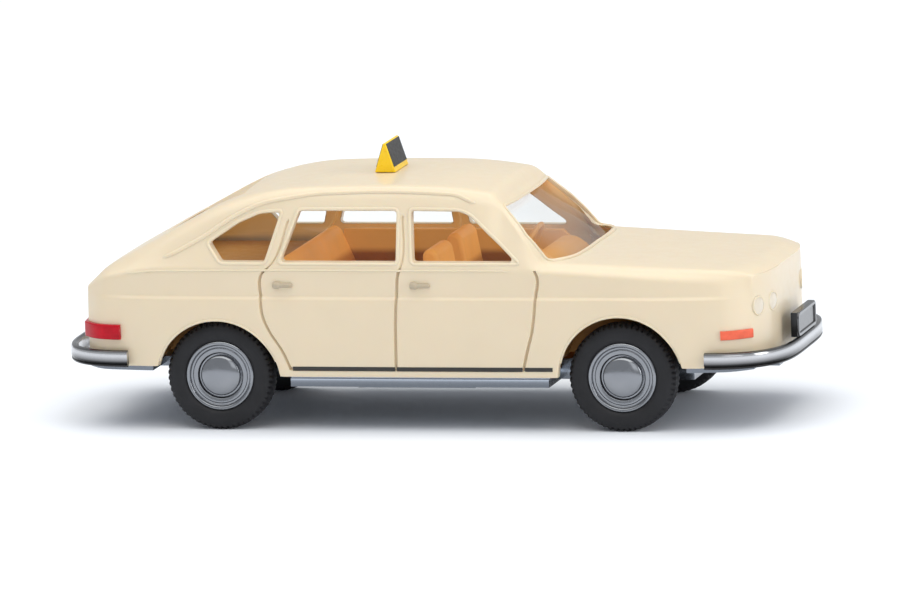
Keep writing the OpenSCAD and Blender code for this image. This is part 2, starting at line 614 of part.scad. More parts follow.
// Wheel disc with domed cap and ring groove, drawn as [radius, distance inward from the outer face]
disc_radius = 0.645 * tyre_radius;
cap_radius = 0.58 * disc_radius;
seat_radius = axle_diameter / 2 + fit_gap / 4;
boss_radius = 2 * seat_radius;
boss_depth = tyre_width + 0.7 * axle_diameter;
function deep(s) = s * tyre_width;
WHEEL_PROFILE = [[0, deep(0.01)], [0.42 * cap_radius, deep(0.03)], [0.78 * cap_radius, deep(0.1)],
                 [cap_radius, deep(0.22)], [1.1 * cap_radius, deep(0.22)], [0.86 * disc_radius, deep(0.16)],
                 [0.94 * disc_radius, deep(0.06)], [disc_radius, deep(0.1)], [disc_radius, deep(0.92)],
                 [boss_radius, deep(0.92)], [boss_radius, boss_depth], [seat_radius, boss_depth],
                 [seat_radius, deep(0.4)], [0, deep(0.4)]];
module at_wheel(x, side) {
    translate([x, side * wheel_span / 2, axle_z]) rotate([side * 90, 0, 0]) children();
}
module wheel(x, side) {
    color("#8E9298") at_wheel(x, side) rotate_extrude($fn = 72) polygon(WHEEL_PROFILE);
}
module wheel_front_left() { wheel(front_axle_x, 1); }
module wheel_front_right() { wheel(front_axle_x, -1); }
module wheel_rear_left() { wheel(rear_axle_x, 1); }
module wheel_rear_right() { wheel(rear_axle_x, -1); }

bore = disc_radius + fit_gap / 4;
TYRE_PROFILE = [[bore, deep(0.08)], [0.78 * tyre_radius, 0], [0.88 * tyre_radius, deep(0.01)],
                [0.97 * tyre_radius, deep(0.1)], [tyre_radius, deep(0.26)], [tyre_radius, deep(0.74)],
                [0.97 * tyre_radius, deep(0.9)], [0.88 * tyre_radius, tyre_width], [bore, tyre_width]];
module tyre(x, side) {
    color("#2C2C2E") at_wheel(x, side) rotate_extrude($fn = 72) polygon(TYRE_PROFILE);
}
module tyre_front_left() { tyre(front_axle_x, 1); }
module tyre_front_right() { tyre(front_axle_x, -1); }
module tyre_rear_left() { tyre(rear_axle_x, 1); }
module tyre_rear_right() { tyre(rear_axle_x, -1); }

body_shell();
glazing();
cabin_insert();
steering_wheel();
chassis();
front_bumper();
rear_bumper();
plate_block();
roof_sign();
headlamps();
front_indicators();
tail_lamps();
front_axle();
rear_axle();
wheel_front_left();
wheel_front_right();
wheel_rear_left();
wheel_rear_right();
tyre_front_left();
tyre_front_right();
tyre_rear_left();
tyre_rear_right();
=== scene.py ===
"""Looks of a small plastic scale model taxi car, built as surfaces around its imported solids."""

import math

import bmesh
import bpy
import numpy as np
from bpy.props import FloatProperty, FloatVectorProperty, IntProperty, PointerProperty
from mathutils import Matrix, Vector


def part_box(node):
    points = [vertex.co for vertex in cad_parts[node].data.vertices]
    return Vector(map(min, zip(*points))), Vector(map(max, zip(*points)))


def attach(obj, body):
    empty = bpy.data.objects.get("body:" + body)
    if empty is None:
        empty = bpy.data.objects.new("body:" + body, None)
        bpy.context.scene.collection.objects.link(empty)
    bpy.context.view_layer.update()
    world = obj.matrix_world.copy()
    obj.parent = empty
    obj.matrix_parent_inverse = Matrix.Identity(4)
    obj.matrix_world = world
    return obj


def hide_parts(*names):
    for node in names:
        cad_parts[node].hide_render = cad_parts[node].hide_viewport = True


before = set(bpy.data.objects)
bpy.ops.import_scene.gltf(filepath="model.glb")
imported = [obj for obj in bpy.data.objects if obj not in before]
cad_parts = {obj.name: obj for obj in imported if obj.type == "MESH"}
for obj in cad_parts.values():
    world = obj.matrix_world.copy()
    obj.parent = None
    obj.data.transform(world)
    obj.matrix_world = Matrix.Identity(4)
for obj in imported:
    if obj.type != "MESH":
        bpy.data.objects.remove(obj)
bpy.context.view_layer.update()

bl_info = {
    "name": "Scale Model Taxi",
    "version": (1, 0, 0),
    "blender": (4, 5, 0),
    "location": "View3D > Sidebar > Taxi",
    "description": "Builds the finished surfaces of a plastic scale model taxi car",
    "category": "Object",
}

# All shapes are worked out in millimetres and scaled by MM when the mesh is made.
MM = 0.001


def node_box(node):
    """Lowest and highest corner of a solid, in millimetres."""
    low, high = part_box(node)
    return np.array(low) / MM, np.array(high) / MM


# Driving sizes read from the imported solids
front_low, front_high = node_box("tyre_front_left")
rear_low, rear_high = node_box("tyre_rear_left")
TYRE_RADIUS = (front_high[2] - front_low[2]) / 2
TYRE_WIDTH = front_high[1] - front_low[1]
AXLE_Z = (front_high[2] + front_low[2]) / 2
WHEEL_FACE_Y = front_high[1]
FRONT_AXLE_X = (front_high[0] + front_low[0]) / 2
REAR_AXLE_X = (rear_high[0] + rear_low[0]) / 2
WHEELBASE = FRONT_AXLE_X - REAR_AXLE_X
TIP_X = node_box("front_bumper")[1][0]
END_X = node_box("rear_bumper")[0][0]
FRONT_OVERHANG = TIP_X - FRONT_AXLE_X
REAR_OVERHANG = REAR_AXLE_X - END_X
# Depth of the tyres' faces inside the widest part of the body, and half the body's width
WHEEL_INSET = 0.65
HALF = WHEEL_FACE_Y + WHEEL_INSET

# Heights of the body, as in the solids: the sill between the axles, the apron beyond them, the side crease,
# the belt below the windows, the cabin above the belt, and the middle of the bumpers
SILL = 3.95
APRON = 4.62
CREASE = 9.3
BELT = 11.5
CABIN_HEIGHT = 5.8
BUMPER_Z = 5.1
# Height of the step at the crease, bulge of the side, and thickness of the wall
CREASE_RISE = 0.2
SIDE_BULGE = 0.12
WALL = 0.7

# Wheel arches: (middle x, middle z, radius)
FRONT_ARCH = TYRE_RADIUS + 0.6
REAR_ARCH = TYRE_RADIUS + 0.7
REAR_ARCH_Z = AXLE_Z - 0.45
ARCHES = ((FRONT_AXLE_X, AXLE_Z, FRONT_ARCH), (REAR_AXLE_X, REAR_ARCH_Z, REAR_ARCH))


def ahead(share):
    """Place ahead of the front axle, as a share of the front overhang."""
    return FRONT_AXLE_X + share * FRONT_OVERHANG


def behind(share):
    """Place behind the rear axle, as a share of the rear overhang."""
    return REAR_AXLE_X - share * REAR_OVERHANG


def between(share):
    """Place between the axles, as a share of the wheelbase from the rear axle."""
    return REAR_AXLE_X + np.asarray(share) * WHEELBASE


def above_belt(share):
    """Height above the belt, as a share of the cabin height."""
    return BELT + np.asarray(share) * CABIN_HEIGHT


# Stations of the body from its end faces inwards: the wings ahead of the cabin, then the windscreen's foot,
# middle and upper edge, and the front of the roof
NOSE_X = ahead(0.79)
TAIL_X = behind(0.818)
WING_X = between(0.86)
COWL_X = between(0.806)
MID_SCREEN_X = between(0.762)
HEADER_X = between(0.7)
ROOF_FRONT_X = between(0.678)

# Lines of the body, as in the solids. Each row is a corner: (station x, value, half length of its rounding).
# Values are shares of the half width or of the cabin height above the belt; roundings of the wheelbase.
WAIST_Y = ((TAIL_X, 0.787, 0), (behind(0.73), 0.92, 0.024), (behind(0.407), 0.984, 0.087),
           (between(0.5), 1, 0.28), (ahead(0.384), 0.987, 0.087), (ahead(0.686), 0.92, 0.028),
           (NOSE_X, 0.79, 0))
SHOULDER_Y = ((TAIL_X, 0.771, 0), (behind(0.72), 0.888, 0.024), (behind(0.407), 0.952, 0.087),
              (between(0.5), 0.968, 0.28), (ahead(0.306), 0.941, 0.087), (ahead(0.677), 0.867, 0.028),
              (NOSE_X, 0.782, 0))
SHOULDER_Z = ((TAIL_X, -0.3, 0), (behind(0.71), -0.129, 0.028), (behind(0.424), -0.035, 0.052),
              (between(0.139), -0.02, 0.07), (HEADER_X, -0.02, 0.07), (WING_X, -0.05, 0.052),
              (ahead(0.677), -0.172, 0.031), (NOSE_X, -0.241, 0))
RAIL_Y = ((TAIL_X, 0.734, 0), (behind(0.407), 0.819, 0.07), (between(0), 0.777, 0.07),
          (between(0.278), 0.734, 0.1), (between(0.527), 0.723, 0.1), (HEADER_X, 0.715, 0.014),
          (MID_SCREEN_X, 0.85, 0.02), (COWL_X, 0.88, 0.014), (WING_X, 0.87, 0.03),
          (ahead(0.686), 0.825, 0.05), (NOSE_X, 0.775, 0))
RAIL_Z = ((TAIL_X, -0.276, 0), (behind(0.71), -0.052, 0.021), (between(-0.01), 0.681, 0.052),
          (between(0.139), 0.897, 0.07), (between(0.348), 0.922, 0.087), (between(0.56), 0.914, 0.07),
          (ROOF_FRONT_X, 0.83, 0.014), (HEADER_X, 0.715, 0.007), (MID_SCREEN_X, 0.375, 0.02),
          (COWL_X, 0.05, 0.01), (WING_X, 0.038, 0.035), (ahead(0.677), -0.058, 0.031), (NOSE_X, -0.125, 0))
TOP_Z = ((TAIL_X, -0.27, 0), (behind(0.7), -0.07, 0.028), (between(0.045), 0.865, 0.059),
         (between(0.313), 0.966, 0.139), (between(0.58), 0.96, 0.07), (ROOF_FRONT_X, 0.88, 0.017),
         (HEADER_X, 0.735, 0.007), (MID_SCREEN_X, 0.395, 0.02), (COWL_X, 0.065, 0.01),
         (ahead(0.686), -0.04, 0.031), (NOSE_X, -0.115, 0))
# How far the middle of a section is bowed forward, as a share of the half width
BOW = ((TAIL_X, -0.05, 0), (between(0.066), 0, 0.1), (between(0.5), 0, 0.1), (HEADER_X, 0.01, 0.007),
       (COWL_X, 0.265, 0.014), (NOSE_X, 0.11, 0))
# Power of the bow's curve: the higher, the boxier in plan
BOW_POWER = ((TAIL_X, 2, 0), (HEADER_X, 4, 0.014), (COWL_X, 6, 0.014), (NOSE_X, 4, 0))
# Rounding of the upper edges, as a share of the rail rounding
RAIL_BEND = ((TAIL_X, 1, 0), (ROOF_FRONT_X, 1, 0.014), (HEADER_X, 0.4, 0.014), (COWL_X, 0.4, 0.014),
             (WING_X, 1, 0.014), (NOSE_X, 1, 0))

# Window corners: shares of the wheelbase from the rear axle and of the cabin height
SIDE_WINDOWS = (
    ((0.014, 0.066), (0.123, 0.066), (0.158, 0.64), (0.107, 0.62), (0.054, 0.512), (-0.018, 0.28)),
    ((0.163, 0.066), (0.451, 0.066), (0.446, 0.653), (0.205, 0.653)),
    ((0.493, 0.066), (0.748, 0.066), (0.626, 0.594), (0.599, 0.643), (0.482, 0.653)),
)
WINDOW_ROUND = 0.2
# Windscreen: corners of one half as shares of the half width and of the cabin height
SCREEN = ((0, 0.1), (0.5, 0.095), (0.84, 0.07), (0.815, 0.375), (0.69, 0.69))
# Rear window: (station x, share of the half width) of one side, from its foot to its upper edge
REAR_WINDOW = ((behind(0.37), 0.63), (between(0.045), 0.57))

# Panel gaps: shares of the wheelbase from the rear axle and of the height from sill to belt
BOTTOM_SHUT = 0.066
SHUT_LINES = (
    ((0.184, BOTTOM_SHUT), (0.163, 0.245), (0.139, 0.384), (0.12, 0.536), (0.114, 0.72), (0.117, 0.94),
     (0.143, 1.07), (0.179, 1.49)),
    ((0.447, BOTTOM_SHUT), (0.453, 0.72), (0.458, 0.95), (0.4665, 1.07), (0.462, 1.5)),
    ((0.763, BOTTOM_SHUT), (0.772, 0.205), (0.788, 0.43), (0.797, 0.72), (0.801, 0.94), (0.795, 1.0)),
)
# Distance beside each gap over which the grid's columns are drawn along it
SHUT_REACH = (4.2, 3.0, 3.0)
# Share of the gap's depth on the pillars
PILLAR_GAP = 0.4


def length_setting(name, description, default):
    """Length setting, its default given in millimetres."""
    return FloatProperty(name=name, description=description, default=default * MM, unit="LENGTH")


def colour_setting(name, description, default):
    """Colour setting."""
    return FloatVectorProperty(name=name, description=description, subtype="COLOR", size=3, default=default)


class TaxiSizes(bpy.types.PropertyGroup):
    """Sizes of the finished surfaces that a user may change."""

    wall: length_setting("Wall", "Thickness of the body", WALL)
    edge_round: length_setting("Edge rounding", "Rounding of cut edges", 0.11)
    crease_step: length_setting("Crease step", "Depth of the step at the side crease", 0.16)
    gap_width: length_setting("Gap width", "Width of the panel gaps", 0.15)
    gap_depth: length_setting("Gap depth", "Depth of the panel gaps", 0.27)
    glass: length_setting("Glass", "Thickness of the clear moulding", 0.5)
    lug_depth: length_setting("Lug depth", "Depth of the tread grooves", 0.13)
    lugs: IntProperty(name="Lugs", description="Tread lugs round a tyre", default=56, min=12, max=90)


class TaxiColours(bpy.types.PropertyGroup):
    """Colours of the finishes."""

    ivory: colour_setting("Ivory", "Body", (0.72, 0.605, 0.435))
    caramel: colour_setting("Caramel", "Cabin insert", (0.74, 0.35, 0.085))
    silver: colour_setting("Silver", "Bumpers", (0.95, 0.95, 0.97))
    hub: colour_setting("Hub silver", "Wheel discs", (0.26, 0.27, 0.29))
    rubber: colour_setting("Tyre black", "Tyres", (0.013, 0.013, 0.015))
    print_black: colour_setting("Print black", "Sill stripe and sign face", (0.02, 0.018, 0.015))
    yellow: colour_setting("Sign yellow", "Roof sign", (0.95, 0.6, 0.0))
    lens: colour_setting("Lamp clear", "Headlamp lenses", (0.66, 0.58, 0.46))
    red: colour_setting("Lamp red", "Tail lamps", (0.44, 0.004, 0.014))
    orange: colour_setting("Lamp orange", "Indicators", (0.74, 0.13, 0.07))
    chassis: colour_setting("Base grey", "Base plate", (0.2, 0.22, 0.25))
    steel: colour_setting("Steel", "Axles", (0.5, 0.5, 0.52))
    floor: colour_setting("Floor", "Studio floor", (0.88, 0.91, 0.97))


def sizes():
    """The size settings."""
    return bpy.context.scene.taxi_sizes


def colours():
    """The colour settings."""
    return bpy.context.scene.taxi_colours


# Lines and sections of the body

# Least length that is divided by
TINY = 1e-12


def ramp(u, b):
    """Rounded ramp: 0 before a corner, u after it, and a parabola over +-b between."""
    b = max(b, TINY)
    return np.where(u <= -b, 0.0, np.where(u >= b, u, (u + b) ** 2 / (4 * b)))


def line_at(table, x):
    """Height of a line of straight stretches with rounded corners at stations x."""
    rows = np.array(table, float)
    slopes = np.diff(rows[:, 1]) / np.diff(rows[:, 0])
    value = rows[0, 1] + slopes[0] * (x - rows[0, 0])
    for row, turn in zip(rows[1:-1], np.diff(slopes)):
        value = value + turn * ramp(x - row[0], WHEELBASE * row[2])
    return value


def smooth_line(points, at):
    """Cubic curve through (place, height) points, read at heights, its slopes taken from the neighbours."""
    place, height = np.array(points, float).T
    slope = np.gradient(place, height)
    i = np.clip(np.searchsorted(height, at) - 1, 0, len(height) - 2)
    step = height[i + 1] - height[i]
    t = np.clip((at - height[i]) / step, 0, 1)
    return ((1 + 2 * t) * (1 - t) ** 2 * place[i] + t * (1 - t) ** 2 * step * slope[i]
            + t ** 2 * (3 - 2 * t) * place[i + 1] - t ** 2 * (1 - t) * step * slope[i + 1])


def bend(a, b, c, s):
    """Parabola from a round the corner b to c."""
    return (1 - s) ** 2 * a + 2 * s * (1 - s) * b + s ** 2 * c


def toward(a, b, r):
    """Point at distance r from a on the way to b."""
    gap = b - a
    return a + gap * r / np.maximum(np.linalg.norm(gap, axis=-1, keepdims=True), TINY)


def smooth_step(low, high, value):
    """0 at low, 1 at high, with a soft start and end."""
    t = np.clip((value - low) / (high - low), 0, 1)
    return t * t * (3 - 2 * t)


def plateau(value, low, full, full_end, high):
    """1 from full to full_end, falling softly to 0 at low and at high."""
    return smooth_step(low, full, value) * smooth_step(high, full_end, value)


# Rows of a half section from the lower edge to the middle of the roof: the share s along each stretch.
# The side has close rows beside the doors' lower gap.
GAP_ROW = 0.09
GAP_ROW_STEP = 0.018
GAP_SPREAD = np.array([-1.5, -1, -0.5, 0, 0.5, 1, 1.5]) * GAP_ROW_STEP
SIDE_S = np.concatenate([[0, 0.025, 0.05], GAP_ROW + GAP_SPREAD, [0.135, 0.17], np.linspace(0.21, 0.985, 15)])
CORNER_S = np.linspace(0, 1, 4)
BAND_S = np.linspace(0.12, 0.9, 7)
SHOULDER_S = np.linspace(0, 1, 9)
CABIN_S = np.linspace(0, 1, 27)[1:-1]
RAIL_S = np.linspace(0, 1, 10)
ROOF_S = np.linspace(0, 1, 17)[1:]
STRETCHES = (SIDE_S, CORNER_S, CORNER_S, BAND_S, SHOULDER_S, CABIN_S, RAIL_S, ROOF_S)
ROW_ENDS = np.cumsum([len(s) for s in STRETCHES])
ROW_COUNT = int(ROW_ENDS[-1])
# First row of the cabin's side and of the roof rail's bend
CABIN_ROW = int(ROW_ENDS[4])
RAIL_ROW = int(ROW_ENDS[5])
# Half height of the shoulder's rows, and shares of the cabin height up to the cabin's last row and the rail
SHOULDER_REACH = 0.4
CABIN_TOP = 0.86
RAIL_TOP = 0.9

# Roundings of a section's corners, and the most that they take of the cabin's side and of the band below it
CREASE_ROUND = 0.07
SHOULDER_ROUND = 0.3
RAIL_ROUND = 0.9
SHOULDER_OF_CABIN = 0.4
SHOULDER_OF_BAND = 0.6
RAIL_OF_CABIN = 0.45
# Share of the bulge and distance down of the point that the crease's rounding starts towards
BELOW_CREASE = (0.8, 0.3)
# Length over which the crease fades out towards the nose and the tail
CREASE_FADE = 3
# Shares of an inset that lower the shoulder, draw in the rail and lower the rail
SHOULDER_DROP = 0.7
RAIL_IN = 0.75
RAIL_DROP = 0.8


def row_heights():
    """Plain height of each row at the middle of the car, used to place the panel gaps."""
    ledge = CREASE + CREASE_RISE
    return np.concatenate([
        SILL + (CREASE - SILL) * SIDE_S,
        np.full(len(CORNER_S), CREASE),
        np.full(len(CORNER_S), ledge),
        ledge + (BELT - SHOULDER_REACH - ledge) * BAND_S,
        BELT - SHOULDER_REACH + 2 * SHOULDER_REACH * SHOULDER_S,
        BELT + SHOULDER_REACH + (CABIN_TOP * CABIN_HEIGHT - SHOULDER_REACH) * CABIN_S,
        np.full(len(RAIL_S), above_belt(RAIL_TOP)),
        np.full(len(ROOF_S), above_belt(1.0))])


def half_section(x, inset):
    """Points (y, z) of half sections at stations x, one column of x for each row.

    The side is a shallow parabola up to the crease, where it steps in; the shoulder and the roof rail
    are parabolic bends between straight stretches; the roof is a parabola across. An inset shrinks it.
    """
    waist = HALF * line_at(WAIST_Y, x) - inset
    shoulder = np.stack([HALF * line_at(SHOULDER_Y, x) - inset,
                         above_belt(line_at(SHOULDER_Z, x)) - SHOULDER_DROP * inset], -1)
    rail = np.stack([HALF * line_at(RAIL_Y, x) - RAIL_IN * inset,
                     above_belt(line_at(RAIL_Z, x)) - RAIL_DROP * inset], -1)
    top = above_belt(line_at(TOP_Z, x)) - inset
    low = np.where((x > REAR_AXLE_X) & (x < FRONT_AXLE_X), SILL, APRON)
    fade = np.clip(np.minimum(NOSE_X - x, x - TAIL_X) / CREASE_FADE, 0, 1)
    step = (sizes().crease_step / MM) * fade
    crease_z = np.minimum(CREASE, shoulder[..., 1] - 2 * CREASE_RISE)
    crease = np.stack([waist - SIDE_BULGE, crease_z], -1)
    ledge = np.stack([waist - SIDE_BULGE - step, crease_z + CREASE_RISE], -1)
    below = np.stack([waist - BELOW_CREASE[0] * SIDE_BULGE, crease_z - BELOW_CREASE[1]], -1)
    cabin_side = np.linalg.norm(shoulder - rail, axis=-1, keepdims=True)
    band = np.linalg.norm(shoulder - ledge, axis=-1, keepdims=True)
    most = np.minimum(SHOULDER_OF_CABIN * cabin_side, SHOULDER_OF_BAND * band)
    r_shoulder = np.minimum(SHOULDER_ROUND, most)
    r_rail = np.minimum(RAIL_ROUND * line_at(RAIL_BEND, x)[..., None], RAIL_OF_CABIN * cabin_side)
    roof_y = rail[..., 0] - r_rail[..., 0]

    def roof_z(y):
        return top - (top - rail[..., 1]) * (y / rail[..., 0]) ** 2

    def side(s):
        return np.stack([waist - SIDE_BULGE * (2 * s - 1) ** 2, low + (crease_z - low) * s], -1)

    def roof(s):
        y = roof_y * (1 - s)
        return np.stack([y, roof_z(y)], -1)

    crease_low, crease_high = toward(crease, below, CREASE_ROUND), toward(crease, ledge, CREASE_ROUND)
    ledge_low, band_low = toward(ledge, crease, CREASE_ROUND), toward(ledge, shoulder, CREASE_ROUND)
    band_high = toward(shoulder, ledge, r_shoulder)
    cabin_low = toward(shoulder, rail, r_shoulder)
    cabin_high = toward(rail, shoulder, r_rail)
    roof_start = np.stack([roof_y, roof_z(roof_y)], -1)
    shapes = (
        side,
        lambda s: bend(crease_low, crease, crease_high, s[..., None]),
        lambda s: bend(ledge_low, ledge, band_low, s[..., None]),
        lambda s: band_low + (band_high - band_low) * s[..., None],
        lambda s: bend(band_high, shoulder, cabin_low, s[..., None]),
        lambda s: cabin_low + (cabin_high - cabin_low) * s[..., None],
        lambda s: bend(cabin_high, rail, roof_start, s[..., None]),
        roof,
    )
    points = np.empty(x.shape + (2,))
    start = 0
    for shares, shape, end in zip(STRETCHES, shapes, ROW_ENDS):
        full = np.zeros(x.shape[1])
        full[start:end] = shares
        points[:, start:end] = shape(np.broadcast_to(full, x.shape))[:, start:end]
        start = end
    return points


def bow_at(x, share):
    """How far a station is bowed forward at a share of its half width: b (1 - |share|^p)."""
    return HALF * line_at(BOW, x) * np.maximum(0, 1 - np.abs(share) ** line_at(BOW_POWER, x))


def body_sheet(x, squeeze, inset):
    """Half body at stations x: sections bowed towards the middle and squeezed sideways on the end faces."""
    section = half_section(x, inset)
    y = section[..., 0] * squeeze
    edge = np.where(squeeze < 1, HALF * line_at(WAIST_Y, x), HALF * line_at(RAIL_Y, x) - RAIL_IN * inset)
    bowed = x + bow_at(x, y / edge)
    return np.stack([bowed, y, section[..., 1]], -1)


def stations(runs):
    """Stations from (from, to, count) runs that follow one another, with the last run's end."""
    starts = [np.linspace(a, b, n, endpoint=False) for a, b, n in runs]
    return np.append(np.concatenate(starts), runs[-1][1])


def side_at(x, z):
    """Half width of the body's side at places (x, z), read between the rows of its section."""
    rows = half_section(np.repeat(x[:, None], ROW_COUNT, axis=1), 0)[:, :RAIL_ROW + len(RAIL_S)]
    i = np.clip((rows[..., 1] < z[:, None]).sum(1), 1, rows.shape[1] - 1)
    k = np.arange(len(x))
    low, high = rows[k, i - 1], rows[k, i]
    return low[:, 0] + (high[:, 0] - low[:, 0]) * np.clip((z - low[:, 1]) / (high[:, 1] - low[:, 1]), 0, 1)


# Mesh helpers

# Most that a bend takes of each side of its corner
FILLET_SHARE = 0.45
# Distance in metres below which points are merged
MERGE = 2e-8
# Rounded edges: their steps, and the angle in degrees from which an edge is rounded
BEVEL_STEPS = 3
BEVEL_ANGLE = 35


def grid_quads(columns, rows, wrap=False):
    """Faces of a grid of points, four corners each, closed round the columns if asked."""
    i, j = np.meshgrid(np.arange(columns if wrap else columns - 1), np.arange(rows - 1), indexing="ij")
    k = (i + 1) % columns
    return np.stack([i * rows + j, k * rows + j, k * rows + j + 1, i * rows + j + 1], -1).reshape(-1, 4)


def mirrored_sheet(half):
    """Whole sheet from its half at +y: the near side upwards, over the top and down the far side."""
    near = half * np.array([1, -1, 1])
    return np.concatenate([near, half[:, -2::-1]], axis=1)


def polygon_distance(points, corners):
    """Signed distance of points to a closed outline, negative inside it."""
    a = np.array(corners, float)
    b = np.roll(a, -1, axis=0)
    rel = points[..., None, :] - a
    leg = b - a
    t = np.clip((rel * leg).sum(-1) / (leg ** 2).sum(-1), 0, 1)
    gap = np.linalg.norm(rel - leg * t[..., None], axis=-1).min(-1)
    above = a[:, 1] <= points[..., None, 1]
    below = b[:, 1] > points[..., None, 1]
    side = leg[:, 0] * rel[..., 1] - leg[:, 1] * rel[..., 0]
    turns = (above & below & (side > 0)).sum(-1) - (~above & ~below & (side < 0)).sum(-1)
    return np.where(turns != 0, -gap, gap)


def inset_outline(corners, distance):
    """Outline moved inwards: each side shifted by the distance and met with its neighbours."""
    a = np.array(corners, float)
    b = np.roll(a, -1, axis=0)
    leg = b - a
    turn = np.sign((a[:, 0] * b[:, 1] - b[:, 0] * a[:, 1]).sum())
    unit = leg / np.linalg.norm(leg, axis=1, keepdims=True)
    inward = turn * np.stack([-unit[:, 1], unit[:, 0]], 1)
    before = np.roll(inward, 1, axis=0)
    return a + distance * (before + inward) / (1 + (before * inward).sum(1, keepdims=True))


def rounded_distance(points, corners, radius):
    """Signed distance to an outline whose corners are rounded."""
    return polygon_distance(points, inset_outline(corners, radius)) - radius


def fillet(points, radius, steps, closed=True):
    """Outline with each corner replaced by a parabolic bend of the given reach."""
    p = np.array(points, float)
    before, after = np.roll(p, 1, axis=0), np.roll(p, -1, axis=0)
    shorter = np.minimum(np.linalg.norm(before - p, axis=1), np.linalg.norm(after - p, axis=1))
    reach = np.minimum(radius, FILLET_SHARE * shorter)[:, None]
    s = np.linspace(0, 1, steps)[None, :, None]
    bends = bend(toward(p, before, reach)[:, None], p[:, None], toward(p, after, reach)[:, None], s)
    if closed:
        return bends.reshape(-1, p.shape[1])
    return np.concatenate([p[:1], bends[1:-1].reshape(-1, p.shape[1]), p[-1:]])


def vertex_normals(points, triangles):
    """Area-weighted normals at the points of a triangle mesh."""
    a, b, c = (points[triangles[:, k]] for k in range(3))
    face = np.cross(b - a, c - a)
    normal = np.zeros_like(points)
    for k in range(3):
        np.add.at(normal, triangles[:, k], face)
    return normal / np.maximum(np.linalg.norm(normal, axis=1, keepdims=True), TINY)


def whole_triangles(triangles):
    """The triangles without the collapsed ones."""
    a, b, c = triangles.T
    return triangles[(a != b) & (b != c) & (c != a)]


def as_triangles(quads):
    """Two triangles for each four-cornered face, without the collapsed ones."""
    return whole_triangles(np.concatenate([quads[:, [0, 1, 2]], quads[:, [0, 2, 3]]]))


def snap_to_edge(layers, keep, quads, share=0.22):
    """Moves points close to the cut onto it, along the grid's own edges, so that no slivers appear."""
    edges = np.concatenate([quads[:, [k, (k + 1) % 4]] for k in range(4)])
    edges = np.concatenate([edges, edges[:, ::-1]])
    a, b = edges.T
    t = keep[a] / np.where(keep[a] == keep[b], 1, keep[a] - keep[b])
    near = (keep[a] * keep[b] < 0) & (t < share)
    a, b, t = a[near], b[near], t[near][:, None]
    for points in layers:
        points[a] = points[a] + (points[b] - points[a]) * t
    keep[a] = 0


def cut_sheet(layers, keep, quads):
    """Cuts a sheet where keep is negative: returns the layers with the cut's points added, and triangles.

    Each crossed triangle is clipped at the points where keep, read along its edges, passes through zero.
    """
    snap_to_edge(layers, keep, quads)
    triangles = as_triangles(quads)
    sign = keep[triangles]
    whole = (sign >= 0).all(1) & (sign > 0).any(1)
    kept = [triangles[whole]]
    mixed = triangles[(sign > 0).any(1) & (sign < 0).any(1)]
    crossed = []
    for positive in (1, 2):
        group = mixed[((keep[mixed] >= 0).sum(1) == positive)]
        lone = (keep[group] >= 0) if positive == 1 else (keep[group] < 0)
        first = lone.argmax(1)
        rows = np.arange(len(group))
        a, b, c = (group[rows, (first + k) % 3] for k in range(3))
        crossed.append((positive, a, b, c))
    pairs = np.concatenate([np.stack([a, other], 1) for _, a, b, c in crossed for other in (b, c)])
    low, high = pairs.min(1), pairs.max(1)
    unique, place = np.unique(np.stack([low, high], 1), axis=0, return_inverse=True)
    t = keep[unique[:, 0]] / (keep[unique[:, 0]] - keep[unique[:, 1]])
    number = len(keep) + np.arange(len(unique))
    number = np.where(keep[unique[:, 0]] == 0, unique[:, 0], number)
    number = np.where(keep[unique[:, 1]] == 0, unique[:, 1], number)
    fresh = number[place.ravel()]
    start = 0
    for positive, a, b, c in crossed:
        count = len(a)
        on_b, on_c = fresh[start:start + count], fresh[start + count:start + 2 * count]
        start += 2 * count
        if positive == 1:
            kept.append(np.stack([a, on_b, on_c], 1))
        else:
            kept.append(np.stack([on_b, b, c], 1))
            kept.append(np.stack([on_b, c, on_c], 1))
    grown = [np.concatenate([p, p[unique[:, 0]] + (p[unique[:, 1]] - p[unique[:, 0]]) * t[:, None]])
             for p in layers]
    return grown, whole_triangles(np.concatenate(kept))


def shell(outer, inner, triangles, radius, steps=3):
    """Closed wall between two sheets of the same triangles, its free edges rounded with a quarter circle."""
    edges = np.concatenate([triangles[:, [0, 1]], triangles[:, [1, 2]], triangles[:, [2, 0]]])
    key = np.sort(edges, axis=1)
    _, place, count = np.unique(key, axis=0, return_inverse=True, return_counts=True)
    rim = edges[count[place.ravel()] == 1]
    normal = vertex_normals(outer, triangles)
    sideways = np.zeros_like(outer)
    across = np.cross(outer[rim[:, 1]] - outer[rim[:, 0]], normal[rim[:, 0]] + normal[rim[:, 1]])
    across /= np.maximum(np.linalg.norm(across, axis=1, keepdims=True), TINY)
    np.add.at(sideways, rim[:, 0], across)
    np.add.at(sideways, rim[:, 1], across)
    used, place = np.unique(rim, return_inverse=True)
    place = place.reshape(rim.shape)
    out = sideways[used] / np.maximum(np.linalg.norm(sideways[used], axis=1, keepdims=True), TINY)
    total = len(outer)
    points = [outer, inner]
    faces = [triangles, triangles[:, ::-1] + total]
    ring = rim
    first = 2 * total
    angles = np.linspace(0, math.pi / 2, steps + 1)[1:]
    layers = [outer[used] + radius * (math.sin(t) * out - (1 - math.cos(t)) * normal[used]) for t in angles]
    layers.append(inner[used] + radius * out)
    quads = []
    for layer in layers:
        points.append(layer)
        fresh = first + place
        quads.append(np.stack([ring[:, 1], ring[:, 0], fresh[:, 0], fresh[:, 1]], 1))
        ring = fresh
        first += len(used)
    quads.append(np.stack([ring[:, 1], ring[:, 0], rim[:, 0] + total, rim[:, 1] + total], 1))
    return np.concatenate(points), [np.concatenate(faces), np.concatenate(quads)]


